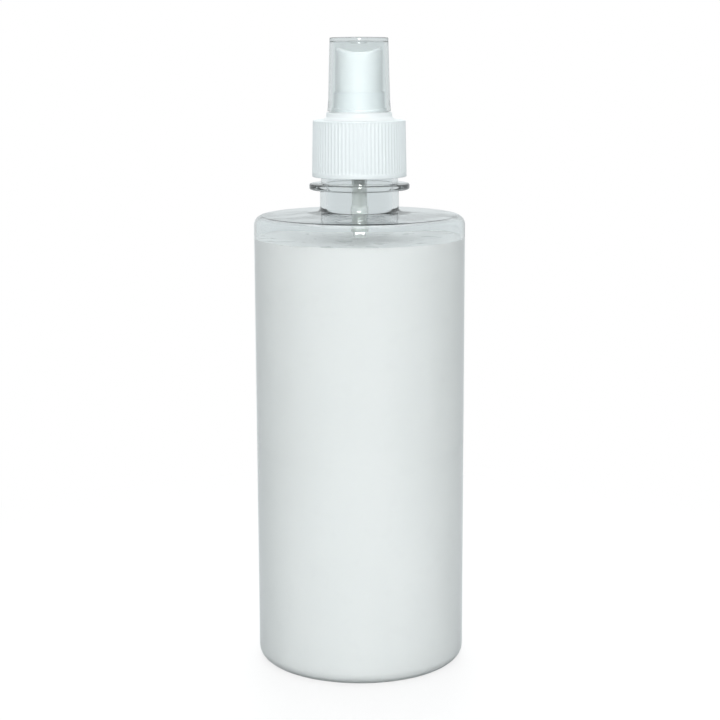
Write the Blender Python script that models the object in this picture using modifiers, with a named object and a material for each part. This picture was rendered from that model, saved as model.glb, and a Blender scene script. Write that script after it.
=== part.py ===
"""A fine-mist spray bottle: a clear cylinder bottle of white liquid with a screw-on finger pump.

Lengths are in millimetres until MM turns them into Blender's metres. +Z is up, the bottle stands
on Z = 0, every turned piece shares the Z axis, and the nozzle sprays along +Y.
Run with: blender --background --python part.py
"""

import math

import bmesh
import bpy
from mathutils import Matrix, Vector

MM = 0.001
MERGE_DISTANCE = 0.00001
GAP = 0.3
CUT_BEYOND = 1.0

# Bottle
BODY_RADIUS = 34.3
BODY_WALL = 0.6
BASE_WALL = 0.9
HEEL_FILLET = 3.5
STANDING_RING_INNER = 28.0
BASE_PUSH_UP = 5.0
BASE_DOME_STEPS = 5
SHOULDER_EDGE = 148.25
SHOULDER_TOP = 149.7
SHOULDER_FILLET = 3.0
SHOULDER_WALL = 0.7
THROAT_RADIUS = 12.8
THROAT_FILLET = 1.2
SUPPORT_RING_RADIUS = 16.25
SUPPORT_RING_BOTTOM = 156.8
SUPPORT_RING_THICKNESS = 1.8
NECK_ROOT_RADIUS = 12.5
NECK_BORE_RADIUS = 10.85
NECK_RIM = 174.75

# Screw thread on the neck and in the closure: right-handed, six turns per inch
THREAD_PITCH = 25.4 / 6
NECK_THREAD_BEAD = 1.0
NECK_THREAD_TURNS = 1.5
NECK_THREAD_TOP = 172.95
CLOSURE_THREAD_BEAD = 0.8
CLOSURE_THREAD_TURNS = 1.0
CLOSURE_THREAD_START = 0.15

# Liquid
LIQUID_LEVEL = 140.8

# Closure
CLOSURE_TOP_RADIUS = 14.95
CLOSURE_FOOT_RADIUS = 15.3
CLOSURE_FOOT = 160.9
CLOSURE_BORE_RADIUS = 14.0
CLOSURE_DECK_THICKNESS = 1.2
CLOSURE_DECK_HOLE = 9.0
CLOSURE_EDGE = 0.6
CLOSURE_FOOT_BAND = 1.2
RIB_COUNT = 75
RIB_DEPTH = 0.25

# Gasket and pump housing
GASKET_BORE = 8.0
GASKET_RADIUS = 13.4
GASKET_THICKNESS = 1.0
HOUSING_FLANGE_RADIUS = 13.2
HOUSING_FLANGE_THICKNESS = 1.2
HOUSING_MOUTH_BORE = 5.9
HOUSING_MOUTH_RADIUS = 7.2
HOUSING_MOUTH_LEDGE = 175.0
CHAMBER_BORE = 3.9
CHAMBER_RADIUS = 4.8
CHAMBER_FLOOR = 162.4
TAIL_BORE = 1.9
TAIL_RADIUS = 2.5
SPRING_LEDGE = 153.3
BALL_CAGE_BORE = 1.4
BALL_SEAT_TOP = 151.9
BALL_SEAT_BOTTOM = 151.0
BALL_SEAT_HOLE = 0.7
BALL_RADIUS = 1.2
SOCKET_STOP = 149.9
SOCKET_FOOT = 144.0
SOCKET_WALL = 0.6
VENT_HOLE_RADIUS = 0.4
VENT_HOLE_HEIGHT = 169.0

# Dip tube
DIP_TUBE_RADIUS = 2.0
DIP_TUBE_BORE = 1.4
DIP_TUBE_FOOT = 8.3

# Piston, stem and spring
PISTON_HEIGHT = 3.6
PISTON_RADIUS = 3.75
PISTON_HUB_RADIUS = 2.7
PISTON_WAIST_RADIUS = 3.3
PISTON_LIP_DEPTH = 1.0
PISTON_LIP_EDGE = 0.2
STEM_RADIUS = 1.75
STEM_BORE = 1.15
STEM_TOP = 196.5
STEM_SHOULDER_RADIUS = 2.6
STEM_SHOULDER_HEIGHT = 1.7
STEM_SHOULDER_PLAY = 0.9
PLUG_FLANGE_RADIUS = 2.9
PLUG_FLANGE_THICKNESS = 1.2
PLUG_PIN_RADIUS = 0.8
PLUG_PIN_HEIGHT = 3.8
PLUG_GUIDE_RADIUS = 0.95
PLUG_GUIDE_LENGTH = 4.5
STEM_PORT = 0.6
SPRING_WIRE = 0.225
SPRING_RADIUS = 1.42
SPRING_TURNS = 17
SPRING_POINTS_PER_TURN = 8

# Collar on top of the closure
COLLAR_FLANGE_RADIUS = 10.55
COLLAR_FLARE_RADIUS = 11.7
COLLAR_FLARE_HEIGHT = 0.6
COLLAR_FLANGE_TOP = 181.5
COLLAR_SEAT_RADIUS = 8.75
COLLAR_SEAT_HEIGHT = 1.1
COLLAR_SLEEVE_RADIUS = 8.15
COLLAR_SLEEVE_BORE = 7.8
COLLAR_SLEEVE_TOP = 188.0
COLLAR_PLUG_BORE = 3.3
COLLAR_FLOOR_THICKNESS = 1.2
COLLAR_FLOOR_TOP = 180.2

# Actuator and nozzle
ACTUATOR_RADIUS = 7.5
ACTUATOR_WALL = 0.9
ACTUATOR_FOOT = 187.2
ACTUATOR_TOP = 202.5
ACTUATOR_EDGE = 1.0
ACTUATOR_CEILING = 198.9
ACTUATOR_POST_RADIUS = 3.3
ACTUATOR_POST_FOOT = 188.2
SCOOP_RADIUS = 16.0
SCOOP_FLOOR = 200.6
FLUID_BORE = 0.9
FLUID_BORE_TOP = 198.8
CHANNEL_RADIUS = 0.5
CHANNEL_HEIGHT = 198.05
NOZZLE_HEIGHT = 197.0
NOZZLE_BOSS_RADIUS = 3.2
NOZZLE_BOSS_REACH = 2.5
NOZZLE_POCKET_RADIUS = 2.25
NOZZLE_POCKET_FLOOR = 4.2
NOZZLE_POST_RADIUS = 0.9
NOZZLE_POST_END = 6.0
NOZZLE_RADIUS = 1.95
NOZZLE_BORE = 1.3
NOZZLE_FACE = 7.3
NOZZLE_FACE_THICKNESS = 0.6
ORIFICE_RADIUS = 0.2

# Overcap
OVERCAP_FOOT = 181.8
OVERCAP_FOOT_RADIUS = 10.25
OVERCAP_SKIRT_RADIUS = 9.95
OVERCAP_SKIRT_HEIGHT = 185.2
OVERCAP_TOP_RADIUS = 9.4
OVERCAP_TOP = 205.3
OVERCAP_CROWN = 0.2
OVERCAP_EDGE = 0.6
OVERCAP_FOOT_BORE = 9.1
OVERCAP_TOP_BORE = 8.35
OVERCAP_CEILING = 203.9
GATE_BOSS_RADIUS = 2.6
GATE_BOSS_FOOT = 203.3

# How finely round shapes are cut
BOTTLE_SEGMENTS = 40
WIDE_SEGMENTS = 32
SMALL_SEGMENTS = 20
TINY_SEGMENTS = 8
SCOOP_SEGMENTS = 96
FILLET_STEPS = 3
BEAD_POINTS_PER_TURN = 24
BEAD_TAPER_POINTS = 3
BEAD_SIDES = 8
SPRING_SIDES = 6
BALL_SEGMENTS = 16
BALL_RINGS = 10
SMOOTH_ANGLE = math.radians(35)

# Heights and radii that follow from the sizes above
GASKET_FOOT = NECK_RIM + GAP
FLANGE_FOOT = GASKET_FOOT + GASKET_THICKNESS + GAP
FLANGE_TOP = FLANGE_FOOT + HOUSING_FLANGE_THICKNESS
DECK_FOOT = FLANGE_TOP + GAP
CLOSURE_TOP = DECK_FOOT + CLOSURE_DECK_THICKNESS
SUPPORT_RING_TOP = SUPPORT_RING_BOTTOM + SUPPORT_RING_THICKNESS
BOTTLE_BORE = BODY_RADIUS - BODY_WALL
SOCKET_BORE = DIP_TUBE_RADIUS + GAP
SOCKET_RADIUS = SOCKET_BORE + SOCKET_WALL
PISTON_TOP = HOUSING_MOUTH_LEDGE
PISTON_FOOT = PISTON_TOP - PISTON_HEIGHT
PLUG_FLANGE_TOP = PISTON_FOOT - GAP
PLUG_FLANGE_FOOT = PLUG_FLANGE_TOP - PLUG_FLANGE_THICKNESS
STEM_FOOT = PLUG_FLANGE_TOP + STEM_PORT
STEM_SHOULDER_FOOT = PISTON_TOP + STEM_SHOULDER_PLAY
STEM_SHOULDER_TOP = STEM_SHOULDER_FOOT + STEM_SHOULDER_HEIGHT
COLLAR_FOOT = CLOSURE_TOP + GAP

WHITE_PLASTIC = ((0.90, 0.91, 0.90), 0.35, 0.0)
CLEAR_PLASTIC = ((0.88, 0.92, 0.92), 0.08, 0.0)
FROSTED_PLASTIC = ((0.84, 0.88, 0.88), 0.25, 0.0)
MILKY_PLASTIC = ((0.80, 0.83, 0.82), 0.40, 0.0)
SOFT_PLASTIC = ((0.82, 0.84, 0.80), 0.55, 0.0)
LIQUID = ((0.86, 0.89, 0.88), 0.20, 0.0)
STEEL = ((0.62, 0.62, 0.62), 0.25, 1.0)


# ---------------------------------------------------------------- Tools

def clear_scene():
    """Removes whatever the scene starts with."""
    for obj in list(bpy.data.objects):
        bpy.data.objects.remove(obj, do_unlink=True)


def new_collection(name):
    """Adds a collection to the scene."""
    collection = bpy.data.collections.new(name)
    bpy.context.scene.collection.children.link(collection)
    return collection


def new_material(name, look):
    """Makes a plain material from a colour, a roughness and a metallic value."""
    color, roughness, metallic = look
    material = bpy.data.materials.new(name)
    material.use_nodes = True
    shader = material.node_tree.nodes["Principled BSDF"]
    shader.inputs["Base Color"].default_value = (*color, 1.0)
    shader.inputs["Roughness"].default_value = roughness
    shader.inputs["Metallic"].default_value = metallic
    material.diffuse_color = (*color, 1.0)
    return material


def rounded(corners):
    """Turns an outline's corners (radius, height, fillet) into points, with an arc at each fillet."""
    points = []
    for index, (radius, height, fillet) in enumerate(corners):
        corner = Vector((radius, height))
        if fillet == 0:
            points.append(corner)
            continue
        before = (Vector(corners[index - 1][:2]) - corner).normalized()
        after = (Vector(corners[(index + 1) % len(corners)][:2]) - corner).normalized()
        half_angle = before.angle(after) / 2
        centre = corner + (before + after).normalized() * fillet / math.sin(half_angle)
        spoke = corner + before * fillet / math.tan(half_angle) - centre
        turn = math.copysign(math.pi - 2 * half_angle, after.cross(before))
        for step in range(FILLET_STEPS + 1):
            points.append(centre + Matrix.Rotation(turn * step / FILLET_STEPS, 2) @ spoke)
    return points


def plain(outline):
    """Gives each (radius, height) of an outline a fillet of zero."""
    return [(radius, height, 0) for radius, height in outline]


def turned(name, corners, segments, collection):
    """Turns an outline about Z. It runs down the outer side, and closes on the axis or on itself."""
    points = rounded(corners)
    edges = [(index, index + 1) for index in range(len(points) - 1)]
    if points[0].x > 0:
        edges.append((len(points) - 1, 0))
    mesh = bpy.data.meshes.new(name)
    mesh.from_pydata([(point.x * MM, 0, point.y * MM) for point in points], edges, [])
    obj = bpy.data.objects.new(name, mesh)
    collection.objects.link(obj)
    screw = obj.modifiers.new("Turn", "SCREW")
    screw.steps = segments
    screw.render_steps = segments
    screw.use_merge_vertices = True
    screw.merge_threshold = MERGE_DISTANCE
    return obj


def bake(obj):
    """Replaces an object's modifiers with the mesh that they give."""
    bpy.context.view_layer.update()
    evaluated = obj.evaluated_get(bpy.context.evaluated_depsgraph_get())
    mesh = bpy.data.meshes.new_from_object(evaluated)
    obj.modifiers.clear()
    obj.data = mesh
    mesh.name = obj.name
    return mesh


def hide_helper(obj):
    """Marks an object that only shapes another one."""
    obj.hide_render = True
    obj.display_type = "WIRE"


def shape_with(obj, helper, operation):
    """Cuts a helper's volume out of an object, or joins it on."""
    hide_helper(helper)
    modifier = obj.modifiers.new(helper.name, "BOOLEAN")
    modifier.object = helper
    modifier.operation = operation
    modifier.solver = "EXACT"


def finish(obj, material):
    """Bakes an object, shades its round faces smooth and gives it its material."""
    mesh = bake(obj)
    mesh.shade_smooth()
    mesh.set_sharp_from_angle(angle=SMOOTH_ANGLE)
    mesh.materials.clear()
    mesh.materials.append(material)


def rod(name, radius, height, start, end, segments, collection):
    """Makes a straight cylinder along +Y at a height, from one y to another."""
    bpy.ops.mesh.primitive_cylinder_add(vertices=segments, radius=radius * MM,
                                        depth=(end - start) * MM,
                                        location=(0, (start + end) / 2 * MM, height * MM),
                                        rotation=(math.pi / 2, 0, 0))
    obj = bpy.context.object
    obj.name = name
    move_to(obj, collection)
    return obj


def move_to(obj, collection):
    """Moves an object out of whatever collections hold it into one."""
    for holder in list(obj.users_collection):
        holder.objects.unlink(obj)
    collection.objects.link(obj)


def face_forward(obj, height):
    """Lays a piece that was turned about Z along +Y, at a height."""
    obj.rotation_euler = (-math.pi / 2, 0, 0)
    obj.location = (0, 0, height * MM)


def wire_along(name, points, radius, sides, taper_points, collection):
    """Makes a closed tube mesh along points, whose ends taper over their last few points."""
    curve = bpy.data.curves.new(name, "CURVE")
    curve.dimensions = "3D"
    curve.bevel_depth = radius * MM
    curve.bevel_resolution = sides // 2 - 2
    curve.use_fill_caps = True
    spline = curve.splines.new("POLY")
    spline.points.add(len(points) - 1)
    for index, (spot, point) in enumerate(zip(spline.points, points)):
        spot.co = (*(Vector(point) * MM), 1)
        from_end = min(index, len(points) - 1 - index)
        spot.radius = min(1, (from_end + 1) / (taper_points + 1))
    guide = bpy.data.objects.new(name + "_curve", curve)
    collection.objects.link(guide)
    bpy.context.view_layer.update()
    evaluated = guide.evaluated_get(bpy.context.evaluated_depsgraph_get())
    mesh = bpy.data.meshes.new_from_object(evaluated)
    weld(mesh)
    obj = bpy.data.objects.new(name, mesh)
    obj.matrix_world = guide.matrix_world
    collection.objects.link(obj)
    bpy.data.objects.remove(guide, do_unlink=True)
    return obj


def weld(mesh):
    """Joins a tube's loose caps to its sides."""
    work = bmesh.new()
    work.from_mesh(mesh)
    bmesh.ops.remove_doubles(work, verts=work.verts, dist=MERGE_DISTANCE)
    bmesh.ops.recalc_face_normals(work, faces=work.faces)
    work.to_mesh(mesh)
    work.free()


def helix(radius, start_height, start_turn, turns, pitch, points_per_turn):
    """Gives the points of a right-handed helix that rises from a height and an angle in turns."""
    points = []
    for step in range(round(turns * points_per_turn) + 1):
        turn = start_turn + step / points_per_turn
        angle = turn * math.tau
        rise = (turn - start_turn) * pitch
        points.append((radius * math.cos(angle), radius * math.sin(angle), start_height + rise))
    return points


# ---------------------------------------------------------------- Bottle and liquid

def base_dome(rise):
    """Outlines the pushed-up base from the axis to the standing ring, lifted by a rise."""
    outline = []
    for step in range(BASE_DOME_STEPS + 1):
        reach = step / BASE_DOME_STEPS
        outline.append((STANDING_RING_INNER * reach, BASE_PUSH_UP * (1 - reach ** 2) + rise))
    return outline


def make_bottle(parts, helpers):
    """The blown bottle: pushed-up base, straight body, flat shoulder, support ring and neck."""
    inside = plain(base_dome(BASE_WALL)) + [
        (BOTTLE_BORE, BASE_WALL, HEEL_FILLET - BODY_WALL),
        (BOTTLE_BORE, SHOULDER_EDGE - SHOULDER_WALL, SHOULDER_FILLET - BODY_WALL),
        (NECK_BORE_RADIUS, SHOULDER_TOP - SHOULDER_WALL, THROAT_FILLET),
        (NECK_BORE_RADIUS, NECK_RIM, 0),
    ]
    outside = [
        (NECK_ROOT_RADIUS, NECK_RIM, GAP),
        (NECK_ROOT_RADIUS, SUPPORT_RING_TOP, 0),
        (SUPPORT_RING_RADIUS, SUPPORT_RING_TOP, GAP),
        (SUPPORT_RING_RADIUS, SUPPORT_RING_BOTTOM, GAP),
        (THROAT_RADIUS, SUPPORT_RING_BOTTOM, 0),
        (THROAT_RADIUS, SHOULDER_TOP, THROAT_FILLET),
        (BODY_RADIUS, SHOULDER_EDGE, SHOULDER_FILLET),
        (BODY_RADIUS, 0, HEEL_FILLET),
    ]
    base = plain(reversed(base_dome(0)))
    bottle = turned("bottle", inside + outside + base, BOTTLE_SEGMENTS, parts)
    shape_with(bottle, make_neck_thread(helpers), "UNION")
    finish(bottle, new_material("clear_bottle", CLEAR_PLASTIC))


def make_neck_thread(helpers):
    """The raised thread round the neck."""
    foot = NECK_THREAD_TOP - NECK_THREAD_TURNS * THREAD_PITCH
    points = helix(NECK_ROOT_RADIUS, foot, 0, NECK_THREAD_TURNS, THREAD_PITCH, BEAD_POINTS_PER_TURN)
    return wire_along("neck_thread", points, NECK_THREAD_BEAD, BEAD_SIDES, BEAD_TAPER_POINTS, helpers)


def make_liquid(parts):
    """The liquid, which fills the bottle to its level and leaves a well for the dip tube."""
    well_radius = DIP_TUBE_RADIUS + GAP
    well_floor = DIP_TUBE_FOOT - GAP
    radius = BOTTLE_BORE - GAP
    foot = BASE_WALL + GAP
    outline = [
        (0, well_floor, 0),
        (well_radius, well_floor, 0),
        (well_radius, LIQUID_LEVEL, 0),
        (radius, LIQUID_LEVEL, 0),
        (radius, foot, HEEL_FILLET - BODY_WALL - GAP),
    ]
    base = plain(reversed(base_dome(foot)))
    liquid = turned("liquid", outline + base, WIDE_SEGMENTS, parts)
    finish(liquid, new_material("white_liquid", LIQUID))


# ---------------------------------------------------------------- Closure

def make_closure(parts, helpers):
    """The screw closure: ribbed skirt, flat deck with a hole, and a thread inside."""
    rib_top = CLOSURE_TOP - CLOSURE_EDGE
    rib_foot = CLOSURE_FOOT + CLOSURE_FOOT_BAND
    edge_sag = CLOSURE_EDGE * (1 - math.sqrt(0.5))
    outline = plain([
        (0, CLOSURE_TOP),
        (CLOSURE_TOP_RADIUS - CLOSURE_EDGE, CLOSURE_TOP),
        (CLOSURE_TOP_RADIUS - edge_sag, CLOSURE_TOP - edge_sag),
        (CLOSURE_TOP_RADIUS, rib_top),
        (CLOSURE_TOP_RADIUS, rib_top - GAP),
        (CLOSURE_FOOT_RADIUS, rib_foot + GAP),
        (CLOSURE_FOOT_RADIUS, rib_foot),
        (CLOSURE_FOOT_RADIUS, CLOSURE_FOOT),
        (0, CLOSURE_FOOT),
    ])
    closure = turned("screw_closure", outline, 2 * RIB_COUNT, parts)
    sink_rib_valleys(bake(closure), rib_top - GAP / 2, rib_foot + GAP / 2)
    shape_with(closure, make_closure_bore(helpers), "DIFFERENCE")
    shape_with(closure, make_closure_thread(helpers), "UNION")
    finish(closure, new_material("white_closure", WHITE_PLASTIC))


def sink_rib_valleys(mesh, top, foot):
    """Moves every other column of the skirt inwards between two heights, which leaves the ribs."""
    column_angle = math.tau / (2 * RIB_COUNT)
    for vertex in mesh.vertices:
        if not foot * MM < vertex.co.z < top * MM:
            continue
        column = round(math.atan2(vertex.co.y, vertex.co.x) / column_angle)
        if column % 2 == 1:
            radius = vertex.co.xy.length
            vertex.co.xy *= (radius - RIB_DEPTH * MM) / radius


def make_closure_bore(helpers):
    """The space inside the closure: the deck's hole over the threaded bore."""
    outline = plain([
        (0, CLOSURE_TOP + CUT_BEYOND),
        (CLOSURE_DECK_HOLE, CLOSURE_TOP + CUT_BEYOND),
        (CLOSURE_DECK_HOLE, DECK_FOOT),
        (CLOSURE_BORE_RADIUS, DECK_FOOT),
        (CLOSURE_BORE_RADIUS, CLOSURE_FOOT + CLOSURE_EDGE),
        (CLOSURE_BORE_RADIUS + CLOSURE_EDGE, CLOSURE_FOOT - CLOSURE_EDGE),
        (0, CLOSURE_FOOT - CLOSURE_EDGE),
    ])
    return turned("closure_bore", outline, WIDE_SEGMENTS, helpers)


def make_closure_thread(helpers):
    """The thread inside the closure, half a pitch under the neck's."""
    neck_foot = NECK_THREAD_TOP - NECK_THREAD_TURNS * THREAD_PITCH
    foot = neck_foot + (CLOSURE_THREAD_START - 0.5) * THREAD_PITCH
    points = helix(CLOSURE_BORE_RADIUS, foot, CLOSURE_THREAD_START, CLOSURE_THREAD_TURNS,
                   THREAD_PITCH, BEAD_POINTS_PER_TURN)
    return wire_along("closure_thread", points, CLOSURE_THREAD_BEAD, BEAD_SIDES, BEAD_TAPER_POINTS,
                      helpers)


# ---------------------------------------------------------------- Pump

def make_gasket(parts):
    """The flat ring that seals the housing's flange to the bottle's rim."""
    top = GASKET_FOOT + GASKET_THICKNESS
    outline = plain([
        (GASKET_BORE, top),
        (GASKET_RADIUS, top),
        (GASKET_RADIUS, GASKET_FOOT),
        (GASKET_BORE, GASKET_FOOT),
    ])
    gasket = turned("neck_gasket", outline, WIDE_SEGMENTS, parts)
    finish(gasket, new_material("soft_gasket", SOFT_PLASTIC))


def make_housing(parts, helpers):
    """The pump housing: flange, mouth, piston chamber, spring tail, ball seat and tube socket."""
    chamber_slope = CHAMBER_BORE - TAIL_BORE
    mouth_floor = HOUSING_MOUTH_LEDGE - HOUSING_FLANGE_THICKNESS
    mouth_slope = (HOUSING_MOUTH_RADIUS - CHAMBER_RADIUS) / 2
    outline = plain([
        (HOUSING_MOUTH_BORE, FLANGE_TOP),
        (HOUSING_FLANGE_RADIUS, FLANGE_TOP),
        (HOUSING_FLANGE_RADIUS, FLANGE_FOOT),
        (HOUSING_MOUTH_RADIUS, FLANGE_FOOT),
        (HOUSING_MOUTH_RADIUS, mouth_floor),
        (CHAMBER_RADIUS, mouth_floor - mouth_slope),
        (CHAMBER_RADIUS, CHAMBER_FLOOR + chamber_slope / 2),
        (TAIL_RADIUS, CHAMBER_FLOOR - chamber_slope / 2),
        (TAIL_RADIUS, BALL_SEAT_TOP),
        (SOCKET_RADIUS, BALL_SEAT_BOTTOM),
        (SOCKET_RADIUS, SOCKET_FOOT),
        (SOCKET_BORE, SOCKET_FOOT),
        (SOCKET_BORE, SOCKET_STOP),
        (BALL_SEAT_HOLE, SOCKET_STOP),
        (BALL_SEAT_HOLE, BALL_SEAT_BOTTOM),
        (BALL_CAGE_BORE, BALL_SEAT_TOP),
        (BALL_CAGE_BORE, SPRING_LEDGE),
        (TAIL_BORE, SPRING_LEDGE),
        (TAIL_BORE, CHAMBER_FLOOR),
        (CHAMBER_BORE, CHAMBER_FLOOR + chamber_slope * 3 / 4),
        (CHAMBER_BORE, HOUSING_MOUTH_LEDGE),
        (HOUSING_MOUTH_BORE, HOUSING_MOUTH_LEDGE),
    ])
    housing = turned("pump_housing", outline, SMALL_SEGMENTS, parts)
    vent = rod("housing_vent", VENT_HOLE_RADIUS, VENT_HOLE_HEIGHT, 0, HOUSING_MOUTH_RADIUS,
               TINY_SEGMENTS, helpers)
    shape_with(housing, vent, "DIFFERENCE")
    finish(housing, new_material("milky_housing", MILKY_PLASTIC))


def make_dip_tube(parts):
    """The tube that reaches from the housing's socket almost to the base."""
    top = SOCKET_STOP - GAP
    outline = plain([
        (DIP_TUBE_BORE, top),
        (DIP_TUBE_RADIUS, top),
        (DIP_TUBE_RADIUS, DIP_TUBE_FOOT),
        (DIP_TUBE_BORE, DIP_TUBE_FOOT),
    ])
    tube = turned("dip_tube", outline, SMALL_SEGMENTS, parts)
    finish(tube, new_material("milky_tube", MILKY_PLASTIC))


def make_inlet_ball(parts):
    """The ball that rests on the conical seat, clear of it by a third of the usual gap."""
    rise = BALL_SEAT_TOP - BALL_SEAT_BOTTOM
    slope = math.atan2(rise, BALL_CAGE_BORE - BALL_SEAT_HOLE)
    clear = BALL_RADIUS + GAP / 3
    centre = BALL_SEAT_BOTTOM + (clear - BALL_SEAT_HOLE * math.sin(slope)) / math.cos(slope)
    bpy.ops.mesh.primitive_uv_sphere_add(segments=BALL_SEGMENTS, ring_count=BALL_RINGS,
                                         radius=BALL_RADIUS * MM, location=(0, 0, centre * MM))
    ball = bpy.context.object
    ball.name = "inlet_ball"
    move_to(ball, parts)
    finish(ball, new_material("steel_ball", STEEL))


def make_spring(parts):
    """The coil that lifts the stem, between the housing's ledge and the stem plug's flange."""
    foot = SPRING_LEDGE + GAP + SPRING_WIRE
    top = PLUG_FLANGE_FOOT - GAP - SPRING_WIRE
    pitch = (top - foot) / SPRING_TURNS
    points = helix(SPRING_RADIUS, foot, 0, SPRING_TURNS, pitch, SPRING_POINTS_PER_TURN)
    spring = wire_along("return_spring", points, SPRING_WIRE, SPRING_SIDES, 0, parts)
    finish(spring, new_material("steel_spring", STEEL))


def make_piston(parts):
    """The piston: a hub round the stem with a sealing lip at each end."""
    bore = STEM_RADIUS + GAP
    lip_root = PISTON_RADIUS - PISTON_LIP_EDGE
    waist = PISTON_LIP_DEPTH + 2 * PISTON_LIP_EDGE
    outline = plain([
        (bore, PISTON_TOP),
        (PISTON_HUB_RADIUS, PISTON_TOP),
        (PISTON_HUB_RADIUS, PISTON_TOP - PISTON_LIP_DEPTH),
        (lip_root, PISTON_TOP),
        (PISTON_RADIUS, PISTON_TOP),
        (PISTON_RADIUS, PISTON_TOP - PISTON_LIP_EDGE),
        (PISTON_WAIST_RADIUS, PISTON_TOP - waist),
        (PISTON_WAIST_RADIUS, PISTON_FOOT + waist),
        (PISTON_RADIUS, PISTON_FOOT + PISTON_LIP_EDGE),
        (PISTON_RADIUS, PISTON_FOOT),
        (lip_root, PISTON_FOOT),
        (PISTON_HUB_RADIUS, PISTON_FOOT + PISTON_LIP_DEPTH),
        (PISTON_HUB_RADIUS, PISTON_FOOT),
        (bore, PISTON_FOOT),
    ])
    piston = turned("piston", outline, SMALL_SEGMENTS, parts)
    finish(piston, new_material("soft_piston", SOFT_PLASTIC))


def make_stem(parts):
    """The hollow stem, with the shoulder that pushes the piston down."""
    outline = plain([
        (STEM_BORE, STEM_TOP),
        (STEM_RADIUS, STEM_TOP),
        (STEM_RADIUS, STEM_SHOULDER_TOP),
        (STEM_SHOULDER_RADIUS, STEM_SHOULDER_TOP),
        (STEM_SHOULDER_RADIUS, STEM_SHOULDER_FOOT),
        (STEM_RADIUS, STEM_SHOULDER_FOOT),
        (STEM_RADIUS, STEM_FOOT),
        (STEM_BORE, STEM_FOOT),
    ])
    stem = turned("pump_stem", outline, SMALL_SEGMENTS, parts)
    finish(stem, new_material("white_stem", WHITE_PLASTIC))


def make_stem_plug(parts):
    """The plug at the stem's foot: a pin up the stem, a flange on the spring, and a guide in it."""
    pin_top = PLUG_FLANGE_TOP + PLUG_PIN_HEIGHT
    guide_foot = PLUG_FLANGE_FOOT - PLUG_GUIDE_LENGTH
    outline = plain([
        (0, pin_top),
        (PLUG_PIN_RADIUS, pin_top),
        (PLUG_PIN_RADIUS, PLUG_FLANGE_TOP),
        (PLUG_FLANGE_RADIUS, PLUG_FLANGE_TOP),
        (PLUG_FLANGE_RADIUS, PLUG_FLANGE_FOOT),
        (PLUG_GUIDE_RADIUS, PLUG_FLANGE_FOOT),
        (PLUG_GUIDE_RADIUS, guide_foot),
        (0, guide_foot),
    ])
    plug = turned("stem_plug", outline, SMALL_SEGMENTS, parts)
    finish(plug, new_material("white_plug", WHITE_PLASTIC))


def make_collar(parts):
    """The collar over the closure: a plug in the housing, a flared flange and a guide sleeve."""
    spigot = CLOSURE_DECK_HOLE - GAP
    plug = HOUSING_MOUTH_BORE - GAP
    ceiling = COLLAR_FLOOR_TOP - COLLAR_FLOOR_THICKNESS
    outline = [
        (STEM_RADIUS + GAP, COLLAR_FLOOR_TOP, 0),
        (COLLAR_SLEEVE_BORE, COLLAR_FLOOR_TOP, 0),
        (COLLAR_SLEEVE_BORE, COLLAR_SLEEVE_TOP, 0),
        (COLLAR_SLEEVE_RADIUS, COLLAR_SLEEVE_TOP, 0),
        (COLLAR_SLEEVE_RADIUS, COLLAR_FLANGE_TOP + COLLAR_SEAT_HEIGHT, 0),
        (COLLAR_SEAT_RADIUS, COLLAR_FLANGE_TOP + COLLAR_SEAT_HEIGHT, 0),
        (COLLAR_SEAT_RADIUS, COLLAR_FLANGE_TOP, 0),
        (COLLAR_FLANGE_RADIUS, COLLAR_FLANGE_TOP, GAP),
        (COLLAR_FLANGE_RADIUS + GAP, COLLAR_FOOT + COLLAR_FLARE_HEIGHT, 0),
        (COLLAR_FLARE_RADIUS, COLLAR_FOOT, 0),
        (spigot, COLLAR_FOOT, 0),
        (spigot, DECK_FOOT, 0),
        (plug, DECK_FOOT, 0),
        (plug, HOUSING_MOUTH_LEDGE + GAP, 0),
        (COLLAR_PLUG_BORE, HOUSING_MOUTH_LEDGE + GAP, 0),
        (COLLAR_PLUG_BORE, ceiling, 0),
        (STEM_RADIUS + GAP, ceiling, 0),
    ]
    collar = turned("pump_collar", outline, WIDE_SEGMENTS, parts)
    finish(collar, new_material("white_collar", WHITE_PLASTIC))


# ---------------------------------------------------------------- Actuator, nozzle and overcap

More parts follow.
